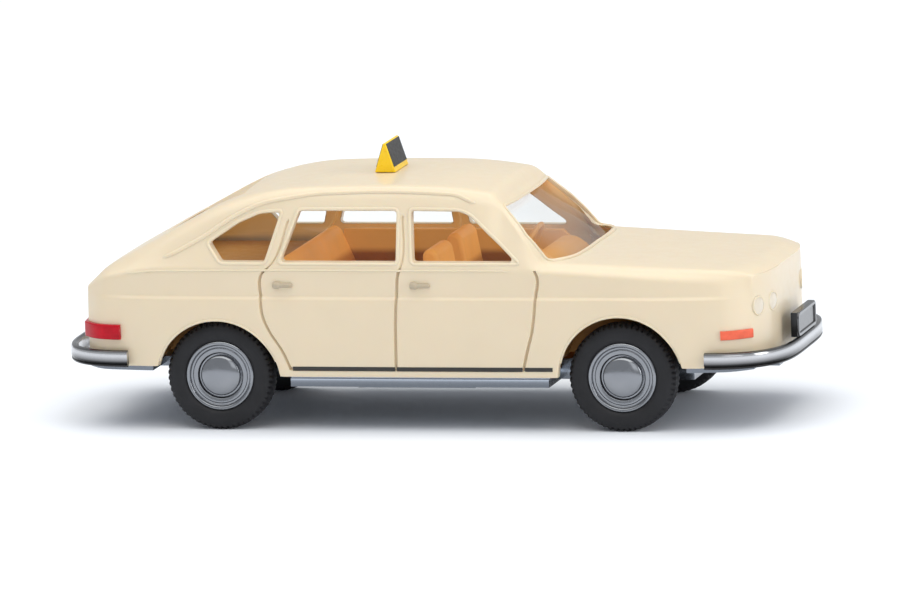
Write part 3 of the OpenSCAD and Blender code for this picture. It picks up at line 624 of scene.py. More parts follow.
def revolve(profile, origin, axis, count):
    """Profile of (radius, distance along the axis) turned round an axis through the origin point."""
    axis = np.array(axis, float) / np.linalg.norm(axis)
    other = np.array([0, 0, 1.0]) if abs(axis[2]) < 0.9 else np.array([1.0, 0, 0])
    e1 = np.cross(axis, other)
    e1 /= np.linalg.norm(e1)
    e2 = np.cross(axis, e1)
    turn = np.arange(count) * 2 * math.pi / count
    spoke = np.cos(turn)[:, None] * e1 + np.sin(turn)[:, None] * e2
    profile = np.array(profile, float)
    points = np.array(origin) + profile[None, :, :1] * spoke[:, None] + profile[None, :, 1:] * axis
    return points.reshape(-1, 3), [grid_quads(count, len(profile), wrap=True)]


def rod(radius, low, high, rounding):
    """Profile of a round rod with rounded rims, to be turned round its axis."""
    return fillet(((0, low), (radius, low), (radius, high), (0, high)), rounding, 4, closed=False)


def sweep(path, section, up=(0, 0, 1), closed=False):
    """Section of (sideways, upwards) points carried along a path; open ends are closed by flat caps."""
    path = np.array(path, float)
    if closed:
        along = np.roll(path, -1, axis=0) - np.roll(path, 1, axis=0)
    else:
        along = np.gradient(path, axis=0)
    along /= np.linalg.norm(along, axis=1, keepdims=True)
    up = np.broadcast_to(np.array(up, float), path.shape)
    side = np.cross(along, up)
    side /= np.linalg.norm(side, axis=1, keepdims=True)
    rise = np.cross(side, along)
    section = np.array(section, float)
    points = path[:, None] + side[:, None] * section[None, :, :1] + rise[:, None] * section[None, :, 1:]
    return tube(points, closed)


def tube(points, closed=False):
    """Points and faces of a tube given as rings of points, its open ends closed by flat caps."""
    n, m = points.shape[:2]
    ring = np.arange(m)
    i, j = np.meshgrid(np.arange(n if closed else n - 1), ring, indexing="ij")
    k, jn = (i + 1) % n, (j + 1) % m
    faces = [np.stack([i * m + j, i * m + jn, k * m + jn, k * m + j], -1).reshape(-1, 4)]
    if not closed:
        faces += [ring[::-1][None], (n - 1) * m + ring[None]]
    return points.reshape(-1, 3), faces


def prism(outline, low, high):
    """Upright outline of (x, z) points carried sideways from y = low to y = high."""
    outline = np.array(outline, float)
    n = len(outline)
    left = np.stack([outline[:, 0], np.full(n, low), outline[:, 1]], 1)
    right = np.stack([outline[:, 0], np.full(n, high), outline[:, 1]], 1)
    i = np.arange(n)
    k = (i + 1) % n
    return np.concatenate([left, right]), [np.stack([i, k, k + n, i + n], 1), i[::-1][None], i[None] + n]


def rectangle(low, high):
    """Corners of a rectangle between its lowest and its highest corner."""
    (x0, z0), (x1, z1) = low, high
    return (x0, z0), (x1, z0), (x1, z1), (x0, z1)


def block(low, high):
    """Box between two corners as a prism."""
    return prism(rectangle(low[::2], high[::2]), low[1], high[1])


def arc(middle, radius, start, count=49):
    """Points of an arc that rises from a start angle and falls to the same height on the other side."""
    turn = np.linspace(start, math.pi - start, count)
    return np.array(middle) + radius * np.stack([np.cos(turn), np.sin(turn)], 1)


def disc_of(radius, steps):
    """Round section of the given radius."""
    turn = np.arange(steps) * 2 * math.pi / steps
    return radius * np.stack([np.cos(turn), np.sin(turn)], 1)


def joined(*shapes):
    """Several shapes as one set of points and faces."""
    points, faces, start = [], [], 0
    for shape_points, shape_faces in shapes:
        points.append(shape_points)
        faces += [f + start for f in shape_faces]
        start += len(shape_points)
    return np.concatenate(points), faces


def both_sides(shape):
    """A shape and its mirror image across the car's middle."""
    points, faces = shape
    return joined(shape, (points * np.array([1, -1, 1]), faces))


def piece(name, shape, material, body, replaces=(), sharp=40, bevel=0.0, painted_glow=None):
    """Makes a finished object of a shape: merged, facing outwards, smooth below the sharp angle.

    It rides on a body, takes its slot and may stand in for solids. A painted glow, if given, holds one
    emission strength for each point.
    """
    points, faces = shape
    mesh = bpy.data.meshes.new(name)
    mesh.from_pydata((points * MM).tolist(), [], [f for group in faces for f in group.tolist()])
    if painted_glow is not None:
        mesh.attributes.new("painted_glow", "FLOAT", "POINT").data.foreach_set("value", painted_glow)
    work = bmesh.new()
    work.from_mesh(mesh)
    bmesh.ops.remove_doubles(work, verts=work.verts, dist=MERGE)
    bmesh.ops.recalc_face_normals(work, faces=work.faces)
    work.to_mesh(mesh)
    work.free()
    mesh.shade_smooth()
    mesh.set_sharp_from_angle(angle=math.radians(sharp))
    obj = bpy.data.objects.new(name, mesh)
    bpy.context.collection.objects.link(obj)
    mesh.materials.append(material)
    if bevel:
        edge = obj.modifiers.new("rounded edges", "BEVEL")
        edge.width = bevel * MM
        edge.segments = BEVEL_STEPS
        edge.limit_method = "ANGLE"
        edge.angle_limit = math.radians(BEVEL_ANGLE)
    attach(obj, body)
    if replaces:
        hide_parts(*replaces)
    return obj


# Finishes

# Range of a noise value that is spread over tones and gloss
NOISE_LOW = 0.3
NOISE_HIGH = 0.7
GRAIN_DETAIL = 4.0
# How far light runs inside the plastic: shares of red, green and blue, and the length
GLOW_SHARES = (1.0, 0.6, 0.3)
GLOW_LENGTH = 0.4
COAT_ROUGH = 0.12
# Heights between which the painted glow on the cabin insert fades out, leaving its lower parts in painted
# shade
CABIN_PAINTED_GLOW_LOW = BELT - 1.6
CABIN_PAINTED_GLOW_HIGH = BELT - 1.15
# Strength of the painted caramel glow on the body's inner side, and the heights between which it fades out
PAINTED_GLOW_STRENGTH = 0.32
SHELL_PAINTED_GLOW_LOW = BELT - 0.9
SHELL_PAINTED_GLOW_HIGH = BELT - 0.3
# Clear moulding: colour of its reflections and of what is seen through it, gloss, and the share that it
# reflects from straight ahead to a grazing angle
CLEAR_MIRROR = (0.97, 0.98, 0.98, 1)
CLEAR_TINT = (0.98, 0.98, 0.97, 1)
CLEAR_ROUGH = (0.02, 0.08)
CLEAR_REFLECTS = (0.015, 0.36)
CLEAR_POWER = 3.0


def set_inputs(node, values):
    """Sets the input sockets of a node by name."""
    for name, value in values.items():
        node.inputs[name].default_value = value


def shader(name):
    """New node material: returns it with its node tree and its main shader."""
    material = bpy.data.materials.get(name) or bpy.data.materials.new(name)
    material.use_nodes = True
    tree = material.node_tree
    tree.nodes.clear()
    output = tree.nodes.new("ShaderNodeOutputMaterial")
    main = tree.nodes.new("ShaderNodeBsdfPrincipled")
    tree.links.new(main.outputs["BSDF"], output.inputs["Surface"])
    return material, tree, main


def noise(tree, size, detail=3.0, rough=0.55):
    """Noise on the piece's own coordinates whose blotches are about the given size in millimetres."""
    place = tree.nodes.new("ShaderNodeTexCoord")
    texture = tree.nodes.new("ShaderNodeTexNoise")
    set_inputs(texture, {"Scale": 1 / (size * MM), "Detail": detail, "Roughness": rough})
    tree.links.new(place.outputs["Object"], texture.inputs["Vector"])
    return texture.outputs["Fac"]


def spread(tree, value, low, high):
    """Maps noise to a range of plain numbers."""
    ranged = tree.nodes.new("ShaderNodeMapRange")
    set_inputs(ranged, {"From Min": NOISE_LOW, "From Max": NOISE_HIGH, "To Min": low, "To Max": high})
    tree.links.new(value, ranged.inputs["Value"])
    return ranged.outputs["Result"]


def tinted(tree, value, dark, light):
    """Colour between two tones by a noise value."""
    tone = tree.nodes.new("ShaderNodeValToRGB")
    for element, place, colour in zip(tone.color_ramp.elements, (NOISE_LOW, NOISE_HIGH), (dark, light)):
        element.position = place
        element.color = (*colour, 1)
    tree.links.new(value, tone.inputs["Fac"])
    return tone.outputs["Color"]


def grain(tree, main, size, strength, depth):
    """Fine moulding grain as bump; depth in millimetres."""
    bump = tree.nodes.new("ShaderNodeBump")
    set_inputs(bump, {"Strength": strength, "Distance": depth * MM})
    tree.links.new(noise(tree, size, GRAIN_DETAIL), bump.inputs["Height"])
    tree.links.new(bump.outputs["Normal"], main.inputs["Normal"])


def moulded(name, colour, rough=(0.3, 0.42), blotch=3.0, tone=0.05, size=0.25, strength=0.15, depth=0.01,
            metal=0.0, glow=0.0, coat=0.0, gloss=0.5):
    """Plastic or paint: slow drift of tone, uneven gloss and a fine grain."""
    material, tree, main = shader(name)
    base = np.array(colour)
    tones = tinted(tree, noise(tree, blotch), base * (1 - tone), np.minimum(base * (1 + tone), 1))
    tree.links.new(tones, main.inputs["Base Color"])
    tree.links.new(spread(tree, noise(tree, blotch / 4), *rough), main.inputs["Roughness"])
    set_inputs(main, {
        "Metallic": metal, "Subsurface Weight": glow, "Subsurface Radius": GLOW_SHARES,
        "Subsurface Scale": GLOW_LENGTH * MM, "Specular IOR Level": gloss, "Coat Weight": coat,
        "Coat Roughness": COAT_ROUGH})
    grain(tree, main, size, strength, depth)
    return material


def add_painted_glow(material):
    """Adds a painted caramel glow (emission) for warm light in the cabin, from a value stored at each point.
    """
    tree = material.node_tree
    value = tree.nodes.new("ShaderNodeAttribute")
    value.attribute_name = "painted_glow"
    main = tree.nodes["Principled BSDF"]
    main.inputs["Emission Color"].default_value = (*colours().caramel, 1)
    tree.links.new(value.outputs["Fac"], main.inputs["Emission Strength"])


def height_share(tree, axis, low, high):
    """Share of the way from low to high, in millimetres along one axis of the piece."""
    place = tree.nodes.new("ShaderNodeTexCoord")
    axes = tree.nodes.new("ShaderNodeSeparateXYZ")
    tree.links.new(place.outputs["Object"], axes.inputs["Vector"])
    along = tree.nodes.new("ShaderNodeMapRange")
    set_inputs(along, {"From Min": low * MM, "From Max": high * MM})
    tree.links.new(axes.outputs[axis], along.inputs["Value"])
    return along.outputs["Result"]


def cabin_plastic(name, tone, lift):
    """Caramel plastic with a painted glow (emission) for the light in the cabin, fading out towards the
    floor.
    """
    colour = tone * np.array(colours().caramel)
    material = moulded(name, colour, rough=(0.4, 0.55), tone=0.08, glow=0.15, gloss=0.25)
    tree = material.node_tree
    # Painted glow: emission in the plastic's own colour, though the insert is no lamp.
    main = tree.nodes["Principled BSDF"]
    main.inputs["Emission Color"].default_value = (*colour, 1)
    strength = tree.nodes.new("ShaderNodeMath")
    strength.operation = "MULTIPLY"
    strength.inputs[1].default_value = lift
    tree.links.new(height_share(tree, "Z", CABIN_PAINTED_GLOW_LOW, CABIN_PAINTED_GLOW_HIGH), strength.inputs[0])
    tree.links.new(strength.outputs["Value"], main.inputs["Emission Strength"])
    return material


def painted_light_bands(name, colour, axis, low, high, bands):
    """Plating with painted light: bright and dark bands along one axis of the piece, from low to high in
    millimetres.
    """
    material = moulded(name, colour, rough=(0.12, 0.22), blotch=1.5, metal=0.85, depth=0.004)
    tree = material.node_tree
    ramp_node = tree.nodes.new("ShaderNodeValToRGB")
    elements = ramp_node.color_ramp.elements
    elements[0].position = bands[0][0]
    elements[1].position = bands[-1][0]
    for at, _ in bands[1:-1]:
        elements.new(at)
    for element, (_, tone) in zip(elements, bands):
        element.color = (*(tone * np.array(colour)), 1)
    tree.links.new(height_share(tree, axis, low, high), ramp_node.inputs["Fac"])
    tree.links.new(ramp_node.outputs["Color"], tree.nodes["Principled BSDF"].inputs["Base Color"])
    return material


def clear_moulding():
    """Clear polystyrene: see-through, with reflections that grow towards grazing angles."""
    material, tree, main = shader("clear_moulding")
    set_inputs(main, {"Base Color": CLEAR_MIRROR, "Metallic": 1.0})
    tree.links.new(spread(tree, noise(tree, size=1.5), *CLEAR_ROUGH), main.inputs["Roughness"])
    grain(tree, main, size=2.0, strength=0.05, depth=0.01)
    clear = tree.nodes.new("ShaderNodeBsdfTransparent")
    set_inputs(clear, {"Color": CLEAR_TINT})
    edge = tree.nodes.new("ShaderNodeLayerWeight")
    set_inputs(edge, {"Blend": 0.5})
    power = tree.nodes.new("ShaderNodeMath")
    power.operation = "POWER"
    power.inputs[1].default_value = CLEAR_POWER
    tree.links.new(edge.outputs["Facing"], power.inputs[0])
    share = tree.nodes.new("ShaderNodeMapRange")
    set_inputs(share, {"To Min": CLEAR_REFLECTS[0], "To Max": CLEAR_REFLECTS[1]})
    tree.links.new(power.outputs["Value"], share.inputs["Value"])
    mix = tree.nodes.new("ShaderNodeMixShader")
    tree.links.new(share.outputs["Result"], mix.inputs["Fac"])
    tree.links.new(clear.outputs["BSDF"], mix.inputs[1])
    tree.links.new(main.outputs["BSDF"], mix.inputs[2])
    output = tree.nodes["Material Output"]
    tree.links.new(mix.outputs["Shader"], output.inputs["Surface"])
    return material


def tinted_lens(name, colour, deep):
    """Lamp paint with a wet gloss over it."""
    return moulded(name, colour, rough=(0.12, 0.25), blotch=0.6, tone=deep, size=0.3, strength=0.12,
                   gloss=0.15, coat=0.08)


# Body

# Runs of the body's grid along the car: (from, to, columns)
BODY_RUNS = ((TAIL_X, behind(0.65), 14), (behind(0.65), behind(0.4), 10), (behind(0.4), between(0.66), 98),
             (between(0.66), between(0.82), 38), (between(0.82), ahead(0.62), 30), (ahead(0.62), NOSE_X, 16))
# Half width of a panel gap's rounded trough in half gap widths, the columns beside a gap in the same measure,
# and the least distance of the other columns from those
GAP_SLOPE = 1.6
GAP_COLUMNS = np.array((-GAP_SLOPE, -1, -0.6, -0.3, 0, 0.3, 0.6, 1, GAP_SLOPE))
LEAST_COLUMN = 0.06
# Half width of the doors' lower gap as a share of the side's height, and how far the upright gaps pass it
LOW_GAP_SLOPE = 1.3 * GAP_ROW_STEP
PAST_LOW_GAP = 0.01
# Columns from the middle of an end face to its edge
CAP_COLUMNS = 12
# A distance past any cut-out
FAR = 9.0
# Rows that the side windows may reach, and the rows behind them: the first, and the one past the last
WINDOW_ROWS = RAIL_ROW + 3
BESIDE_ROWS = (CABIN_ROW - 6, RAIL_ROW + 2)
# Stretches where the inner side is drawn straight in, across the car and along it, with their soft ends, and
# the wall's thickness there as a share of the plain wall
BESIDE_WINDOWS = (between(-0.1), between(-0.05), between(0.77), between(0.82))
BEHIND_SCREEN = (HEADER_X - 0.5, HEADER_X, COWL_X + 0.5, COWL_X + 1.5)
BESIDE_WALL = 1.08
SCREEN_WALL = 0.5


def body_columns():
    """Stations of the body's grid with extra ones beside the panel gaps, and the squeeze of the end faces."""
    plain = stations(BODY_RUNS)
    half_gap = sizes().gap_width / MM / 2
    bases = [float(between((line[0][0] + line[-1][0]) / 2)) for line in SHUT_LINES]
    extra = np.concatenate([base + half_gap * GAP_COLUMNS for base in bases])
    near = np.abs(plain[:, None] - extra).min(1) < LEAST_COLUMN
    x = np.sort(np.concatenate([plain[~near], extra]))
    caps = np.sin(np.linspace(0, math.pi / 2, CAP_COLUMNS)[:-1])
    squeeze = np.concatenate([caps, np.ones(len(x)), caps[::-1]])
    x = np.concatenate([np.full(len(caps), TAIL_X), x, np.full(len(caps), NOSE_X)])
    return x, squeeze, bases


def warped_stations(x, bases):
    """Stations for each row, drawn sideways near each panel gap so that a column of points runs along it."""
    heights = (row_heights() - SILL) / (BELT - SILL)
    grid = np.repeat(x[:, None], ROW_COUNT, axis=1)
    lines = []
    for line, base, reach in zip(SHUT_LINES, bases, SHUT_REACH):
        place = between(smooth_line(line, heights))
        fall = np.cos(np.clip((x - base) / reach, -1, 1) * math.pi / 2) ** 2
        grid += fall[:, None] * (place - base)[None]
        lines.append(place)
    return grid, lines, heights


def gap_depth_at(grid, lines, heights):
    """Depth of the panel gaps at each point: rounded troughs beside each line and along the doors' foot."""
    half_gap = sizes().gap_width / MM / 2
    depth = np.zeros_like(grid)
    for line, place in zip(SHUT_LINES, lines):
        inside = (heights >= BOTTOM_SHUT - PAST_LOW_GAP) & (heights <= line[-1][1])
        trough = np.clip(1 - np.abs(grid - place) / (GAP_SLOPE * half_gap), 0, 1)
        depth = np.maximum(depth, trough * inside * np.where(heights > 1, PILLAR_GAP, 1))
    along = (grid > lines[0]) & (grid < lines[-1])
    rows = np.zeros(ROW_COUNT)
    rows[:len(SIDE_S)] = np.clip(1 - np.abs(SIDE_S - GAP_ROW) / LOW_GAP_SLOPE, 0, 1)
    depth = np.maximum(depth, rows * along)
    return sizes().gap_depth / MM * np.sin(depth * math.pi / 2)


def cabin_places(shares):
    """Places (x, z) from shares of the wheelbase from the rear axle and of the cabin height."""
    return np.array([(between(u), above_belt(v)) for u, v in shares])


def screen_outline():
    """Corners (y, z) of the windscreen."""
    left = [(share * HALF, above_belt(v)) for share, v in SCREEN]
    return left + [(-y, z) for y, z in left[:0:-1]]


def window_distance(points, grow):
    """Signed distance to the nearest cut-out of the body: windows, windscreen, rear window and arches."""
    sheet = points.reshape(-1, 2 * ROW_COUNT - 1, 3)
    row = np.arange(2 * ROW_COUNT - 1)
    rows = np.minimum(row, row[::-1])
    far = np.full(sheet.shape[:2], FAR)
    flat = sheet[..., [0, 2]]
    high_side = rows < WINDOW_ROWS
    for corners in SIDE_WINDOWS:
        gap = rounded_distance(flat[:, high_side], cabin_places(corners), WINDOW_ROUND)
        far[:, high_side] = np.minimum(far[:, high_side], gap)
    low_side = rows < CABIN_ROW
    for x, z, r in ARCHES:
        gap = np.hypot(flat[:, low_side, 0] - x, flat[:, low_side, 1] - z) - r
        far[:, low_side] = np.minimum(far[:, low_side], gap)
    gap = rounded_distance(sheet[..., 1:], screen_outline(), WINDOW_ROUND)
    front = np.maximum(gap, ROOF_FRONT_X - sheet[..., 0])
    rear = [(x, -share * HALF) for x, share in REAR_WINDOW]
    rear += [(x, share * HALF) for x, share in REAR_WINDOW[::-1]]
    back = np.maximum(rounded_distance(sheet[..., :2], rear, WINDOW_ROUND), BELT - sheet[..., 2])
    far = np.minimum(far, np.minimum(front, back))
    return far.ravel() - grow


def sheet_faces(columns):
    """Faces of a whole sheet, its two end columns folded onto the middle line so that the end faces close."""
    rows = 2 * ROW_COUNT - 1
    quads = grid_quads(columns, rows)
    number = np.arange(columns * rows).reshape(columns, rows)
    for end in (0, columns - 1):
        number[end, ROW_COUNT:] = number[end, ROW_COUNT - 2::-1]
    return number.ravel()[quads]


def inner_sheet(half, grid, squeeze, wall):
    """Inner side of the wall: an inset section, drawn straight in behind the windows.

    Behind the side windows the wall is measured across the car and behind the windscreen along it, so that
    the cut edges run square to those directions.
    """
    inward = NOSE_X - np.hypot(NOSE_X - grid, wall)
    inward = np.where(grid < between(0.5), TAIL_X + np.hypot(grid - TAIL_X, wall), inward)
    inset = body_sheet(inward, squeeze, wall)
    row = np.arange(ROW_COUNT)
    beside = plateau(grid, *BESIDE_WINDOWS) * ((row >= BESIDE_ROWS[0]) & (row < BESIDE_ROWS[1]))
    screen = plateau(grid, *BEHIND_SCREEN) * (row >= BESIDE_ROWS[1])
    across = half - np.array([0, BESIDE_WALL * wall, 0])
    back = half - np.array([SCREEN_WALL * wall, 0, 0])
    zone = np.flatnonzero(screen.max(axis=1) > 0)
    flat = back[zone].reshape(-1, 3)
    limit = side_at(flat[:, 0], flat[:, 2]) - SCREEN_WALL * wall
    back[zone, :, 1] = np.minimum(back[zone, :, 1], limit.reshape(len(zone), -1))
    inset = inset + beside[..., None] * (across - inset)
    return inset + screen[..., None] * (back - inset)


def cabin_painted_glow(outer, inner, total):
    """Strength of the painted caramel glow at each point of the shell: only on the cabin's inner side."""
    painted_glow = np.zeros(total)
    height = smooth_step(SHELL_PAINTED_GLOW_LOW, SHELL_PAINTED_GLOW_HIGH, inner[:, 2])
    along = plateau(inner[:, 0], behind(0.6), behind(0.3), ROOF_FRONT_X, COWL_X)
    painted_glow[len(outer):2 * len(outer)] = PAINTED_GLOW_STRENGTH * height * along
    return painted_glow


class TAXI_OT_body(bpy.types.Operator):
    """Ivory body: lofted shell with its end faces, windows, arches and panel gaps"""

    bl_idname = "taxi.body"
    bl_label = "Body"

    def execute(self, context):
        wall = sizes().wall / MM
        edge = sizes().edge_round / MM
        x, squeeze, bases = body_columns()
        grid, lines, heights = warped_stations(x, bases)
        squeeze = np.repeat(squeeze[:, None], ROW_COUNT, axis=1)
        half = body_sheet(grid, squeeze, 0)
        half[..., 1] -= gap_depth_at(grid, lines, heights) * (squeeze >= 1)
        inner = mirrored_sheet(inner_sheet(half, grid, squeeze, wall)).reshape(-1, 3)
        outer = mirrored_sheet(half).reshape(-1, 3)
        keep = window_distance(outer, edge)
        layers, triangles = cut_sheet([outer, inner], keep, sheet_faces(len(x)))
        shape = shell(*layers, triangles, edge)
        ivory = moulded("ivory_plastic", colours().ivory, tone=0.012, glow=0.25, coat=0.15)
        # Painted glow: the inner side of the ivory shell glows caramel, standing in for warm light inside the
        # cabin.
        add_painted_glow(ivory)
        painted_glow = cabin_painted_glow(*layers, len(shape[0]))
        piece("body", shape, ivory, "car", ["body_shell"], painted_glow=painted_glow)
        return {"FINISHED"}


# Beads, handles and printed stripes on the body

# Rain gutter on the roof's edge: shares of the wheelbase and of the cabin height, and the reach of its bends
GUTTER_LINE = ((-0.162, 0.017), (-0.09, 0.195), (-0.03, 0.35), (0.029, 0.552), (0.106, 0.744), (0.238, 0.845),
               (0.388, 0.866), (0.508, 0.857), (0.596, 0.828), (0.64, 0.72), (0.67, 0.65))
GUTTER_BEND = 1.2
# Radius of each bead, depth to which its middle is sunk, and the belt bead's distance below the shoulder
GUTTER_RADIUS = 0.17
GUTTER_SUNK = 0.03
BELT_BEAD = 0.08
BELT_BEAD_SUNK = 0.02
BELT_BEAD_DROP = 0.06
ARCH_LIP = 0.1
ARCH_LIP_SUNK = 0.03
# Height of the arch lips' ends above the apron
ARCH_LIP_END = 0.3
# Points over which a bead's end dives into the body
BEAD_FADE = 9
# Steps along the belt bead, and along the gutters and window frames
BEAD_STEP = 0.25
PATH_STEP = 0.2
# Door handles: shares of the wheelbase, height, half sizes along, out and up, stand-off, and sections
HANDLES = (0.17, 0.512)
HANDLE_Z = CREASE + 0.99
HANDLE_HALF = (0.75, 0.2, 0.17)
HANDLE_STAND = 0.05
HANDLE_RINGS = 25
HANDLE_SIDES = 16
HANDLE_END_POWER = 8
# Push button: how much thicker it is than the bar, and the shares of the length between which it swells
BUTTON_SWELL = 0.55
BUTTON_ENDS = (0.42, 0.3)
# Printed stripes: shares of the wheelbase, lower and upper edge, half thickness, stand-off and points along
STRIPE_RUNS = ((0.19, 0.4445), (0.4495, 0.7605), (0.7665, 0.835))
STRIPE_Z = (4.32, 4.6)
STRIPE_HALF = 0.02
STRIPE_STAND = 0.01
STRIPE_POINTS = 60
# Section of the window frames, (sideways, outwards)
FRAME_SECTION = ((-0.11, -0.15), (-0.11, 0.015), (-0.08, 0.045), (0, 0.055), (0.08, 0.045), (0.11, 0.015),
                 (0.11, -0.15))


def resampled(path, step, closed=False):
    """Path with points at even distances along it."""
    path = np.array(path, float)
    if closed:
        path = np.concatenate([path, path[:1]])
    length = np.concatenate([[0], np.cumsum(np.linalg.norm(np.diff(path, axis=0), axis=1))])
    count = max(int(length[-1] / step), 3)
    at = np.linspace(0, length[-1], count + 1)[:count if closed else count + 1]
    return np.stack([np.interp(at, length, column) for column in path.T], 1)


def on_side(flat, lift=0.0):
    """Path on the left side of the body from a path of (x, z) points."""
    return np.stack([flat[:, 0], side_at(flat[:, 0], flat[:, 1]) + lift, flat[:, 1]], 1)


def bead(flat, radius, sunk, sides, up=(0, 0, 1)):
    """Round bead along (x, z) points on the left side, its ends diving gently into the body."""
    along = np.arange(len(flat)) / BEAD_FADE
    fade = smooth_step(0, 1, np.minimum(along, along[::-1]))
    path = on_side(flat, -sunk)
    path[:, 1] -= 2 * radius * (1 - fade)
    return sweep(path, disc_of(radius, sides), up)


def gutter():
    """Round bead along the roof's edge, its ends sunk into the body."""
    flat = resampled(fillet(cabin_places(GUTTER_LINE), GUTTER_BEND, 8, closed=False), PATH_STEP)
    return bead(flat, GUTTER_RADIUS, GUTTER_SUNK, 12)


def belt_bead():
    """Fine bead along the belt from the tail to the front door's edge."""
    x = np.arange(behind(0.68), between(0.785), BEAD_STEP)
    z = above_belt(line_at(SHOULDER_Z, x)) - BELT_BEAD_DROP
    return bead(np.stack([x, z], 1), BELT_BEAD, BELT_BEAD_SUNK, 8)


def arch_lip(x, z, radius):
    """Fine rounded edge on the rim of a wheel arch."""
    start = math.asin((APRON + ARCH_LIP_END - z) / radius)
    flat = arc((x, z), radius, start)
    return bead(flat, ARCH_LIP, ARCH_LIP_SUNK, 8, up=(0, 1, 0))


def frame_path(outline, outside, rounding, steps, step):
    """Closed path round a cut-out, a little outside it, with rounded corners and even steps."""
    return resampled(fillet(inset_outline(outline, -outside), rounding, steps), step, closed=True)


def window_frame(corners):
    """Low raised strip round a side window."""
    path = frame_path(cabin_places(corners), outside=0.13, rounding=0.33, steps=7, step=PATH_STEP)
    return sweep(on_side(path), FRAME_SECTION, up=(0, 1, 0.4), closed=True)


def on_front(flat):
    """Path on the windscreen's slope from (y, z) points, each at the station whose crown has its height."""
    x = np.linspace(ROOF_FRONT_X, COWL_X + 0.5, 240)
    y, z = flat.T
    edge = HALF * line_at(RAIL_Y, x)
    low = above_belt(line_at(RAIL_Z, x))
    top = above_belt(line_at(TOP_Z, x))
    crown = top - (top - low) * (y[:, None] / edge) ** 2
    i = np.clip((crown > z[:, None]).sum(1), 1, len(x) - 1)
    k = np.arange(len(y))
    share = np.clip((crown[k, i - 1] - z) / (crown[k, i - 1] - crown[k, i]), 0, 1)
    station = x[i - 1] + share * (x[i] - x[i - 1])
    return np.stack([station + bow_at(station, y / (HALF * line_at(RAIL_Y, station))), y, z], 1)


def screen_frame():
    """Narrow raised lip round the windscreen."""
    path = frame_path(screen_outline(), outside=0.02, rounding=0.25, steps=6, step=0.15)
    return sweep(on_front(path), FRAME_SECTION, up=(1, 0, 0.6), closed=True)


def door_handle(share):
    """Pull bar with a thicker push button at its rear end: oval sections of changing size along the car."""
    along, out, up = HANDLE_HALF
    t = np.linspace(0, 1, HANDLE_RINGS)[:, None]
    turn = np.linspace(0, 2 * math.pi, HANDLE_SIDES, endpoint=False)[None]
    end = np.sqrt(np.clip(1 - (2 * t - 1) ** HANDLE_END_POWER, 0, 1))
    button = 1 + BUTTON_SWELL * smooth_step(*BUTTON_ENDS, t)
    x = between(share) + along * (2 * t - 1) + 0 * turn
    z = HANDLE_Z + up * end * button * np.sin(turn)
    side = side_at(x[:, 0], np.full(HANDLE_RINGS, HANDLE_Z))[:, None]
    y = side + HANDLE_STAND + out * end * button * np.cos(turn)
    return tube(np.stack([x, y, z], -1))


def stripe(run):
    """Printed stripe: a thin strip on the body's lower side."""
    low, high = STRIPE_Z
    x = np.linspace(*between(run), STRIPE_POINTS)
    flat = np.stack([x, np.full(STRIPE_POINTS, (low + high) / 2)], 1)
    corner = (STRIPE_HALF, (high - low) / 2)
    return sweep(on_side(flat, STRIPE_STAND), rectangle(np.negative(corner), corner))


class TAXI_OT_trim(bpy.types.Operator):
    """Rain gutters, belt beads, arch lips, window and screen frames, door handles and printed sill stripes"""

    bl_idname = "taxi.trim"
    bl_label = "Body trim"

    def execute(self, context):
        ivory = bpy.data.materials["ivory_plastic"]
        piece("rain_gutters", both_sides(gutter()), ivory, "car", ["body_shell"])
        piece("belt_beads", both_sides(belt_bead()), ivory, "car", ["body_shell"])
        lips = joined(*(arch_lip(*arch) for arch in ARCHES))
        piece("arch_lips", both_sides(lips), ivory, "car", ["body_shell"])
        frames = joined(*(window_frame(corners) for corners in SIDE_WINDOWS))
        piece("window_frames", both_sides(frames), ivory, "car", ["body_shell"])
        piece("screen_frame", screen_frame(), ivory, "car", ["body_shell"])
        handles = joined(*(door_handle(share) for share in HANDLES))
        # Darker copy of the ivory: painted shade on the door handles.
        painted_shade_ivory = moulded("handle_painted_shade", 0.6 * np.array(colours().ivory), tone=0.02, glow=0.2)
        piece("door_handles", both_sides(handles), painted_shade_ivory, "car", ["body_shell"])
        black = moulded("black_print", colours().print_black, rough=(0.35, 0.5), blotch=1.0, tone=0.2)
        stripes = joined(*(stripe(run) for run in STRIPE_RUNS))
        piece("sill_stripes", both_sides(stripes), black, "car", ["body_shell"])
        return {"FINISHED"}


# Glazing

# Clear moulding: its gap to the body's wall, lower edge, rounding of that edge, and the runs of its grid
GLASS_GAP = 0.08
GLASS_LOW = above_belt(0.03)
GLASS_ROUND = 0.06
GLASS_RUNS = ((behind(0.44), between(0.64), 90), (between(0.64), COWL_X + 0.7, 40))


class TAXI_OT_glazing(bpy.types.Operator):
    """Clear moulding that lines the cabin behind the windows"""

    bl_idname = "taxi.glazing"
    bl_label = "Glazing"

    def execute(self, context):
        outset = sizes().wall / MM + GLASS_GAP
        inset = outset + sizes().glass / MM
        x = stations(GLASS_RUNS)
        grid = np.repeat(x[:, None], ROW_COUNT, axis=1)
        whole = np.ones_like(grid)
        layers = [mirrored_sheet(body_sheet(grid, whole, d)).reshape(-1, 3) for d in (outset, inset)]
        keep = layers[0][:, 2] - GLASS_LOW
        layers, triangles = cut_sheet(layers, keep, grid_quads(len(x), 2 * ROW_COUNT - 1))
        shape = shell(*layers, triangles, GLASS_ROUND, steps=2)
        piece("clear_glazing", shape, clear_moulding(), "car", ["glazing"])
        return {"FINISHED"}


# Cabin insert

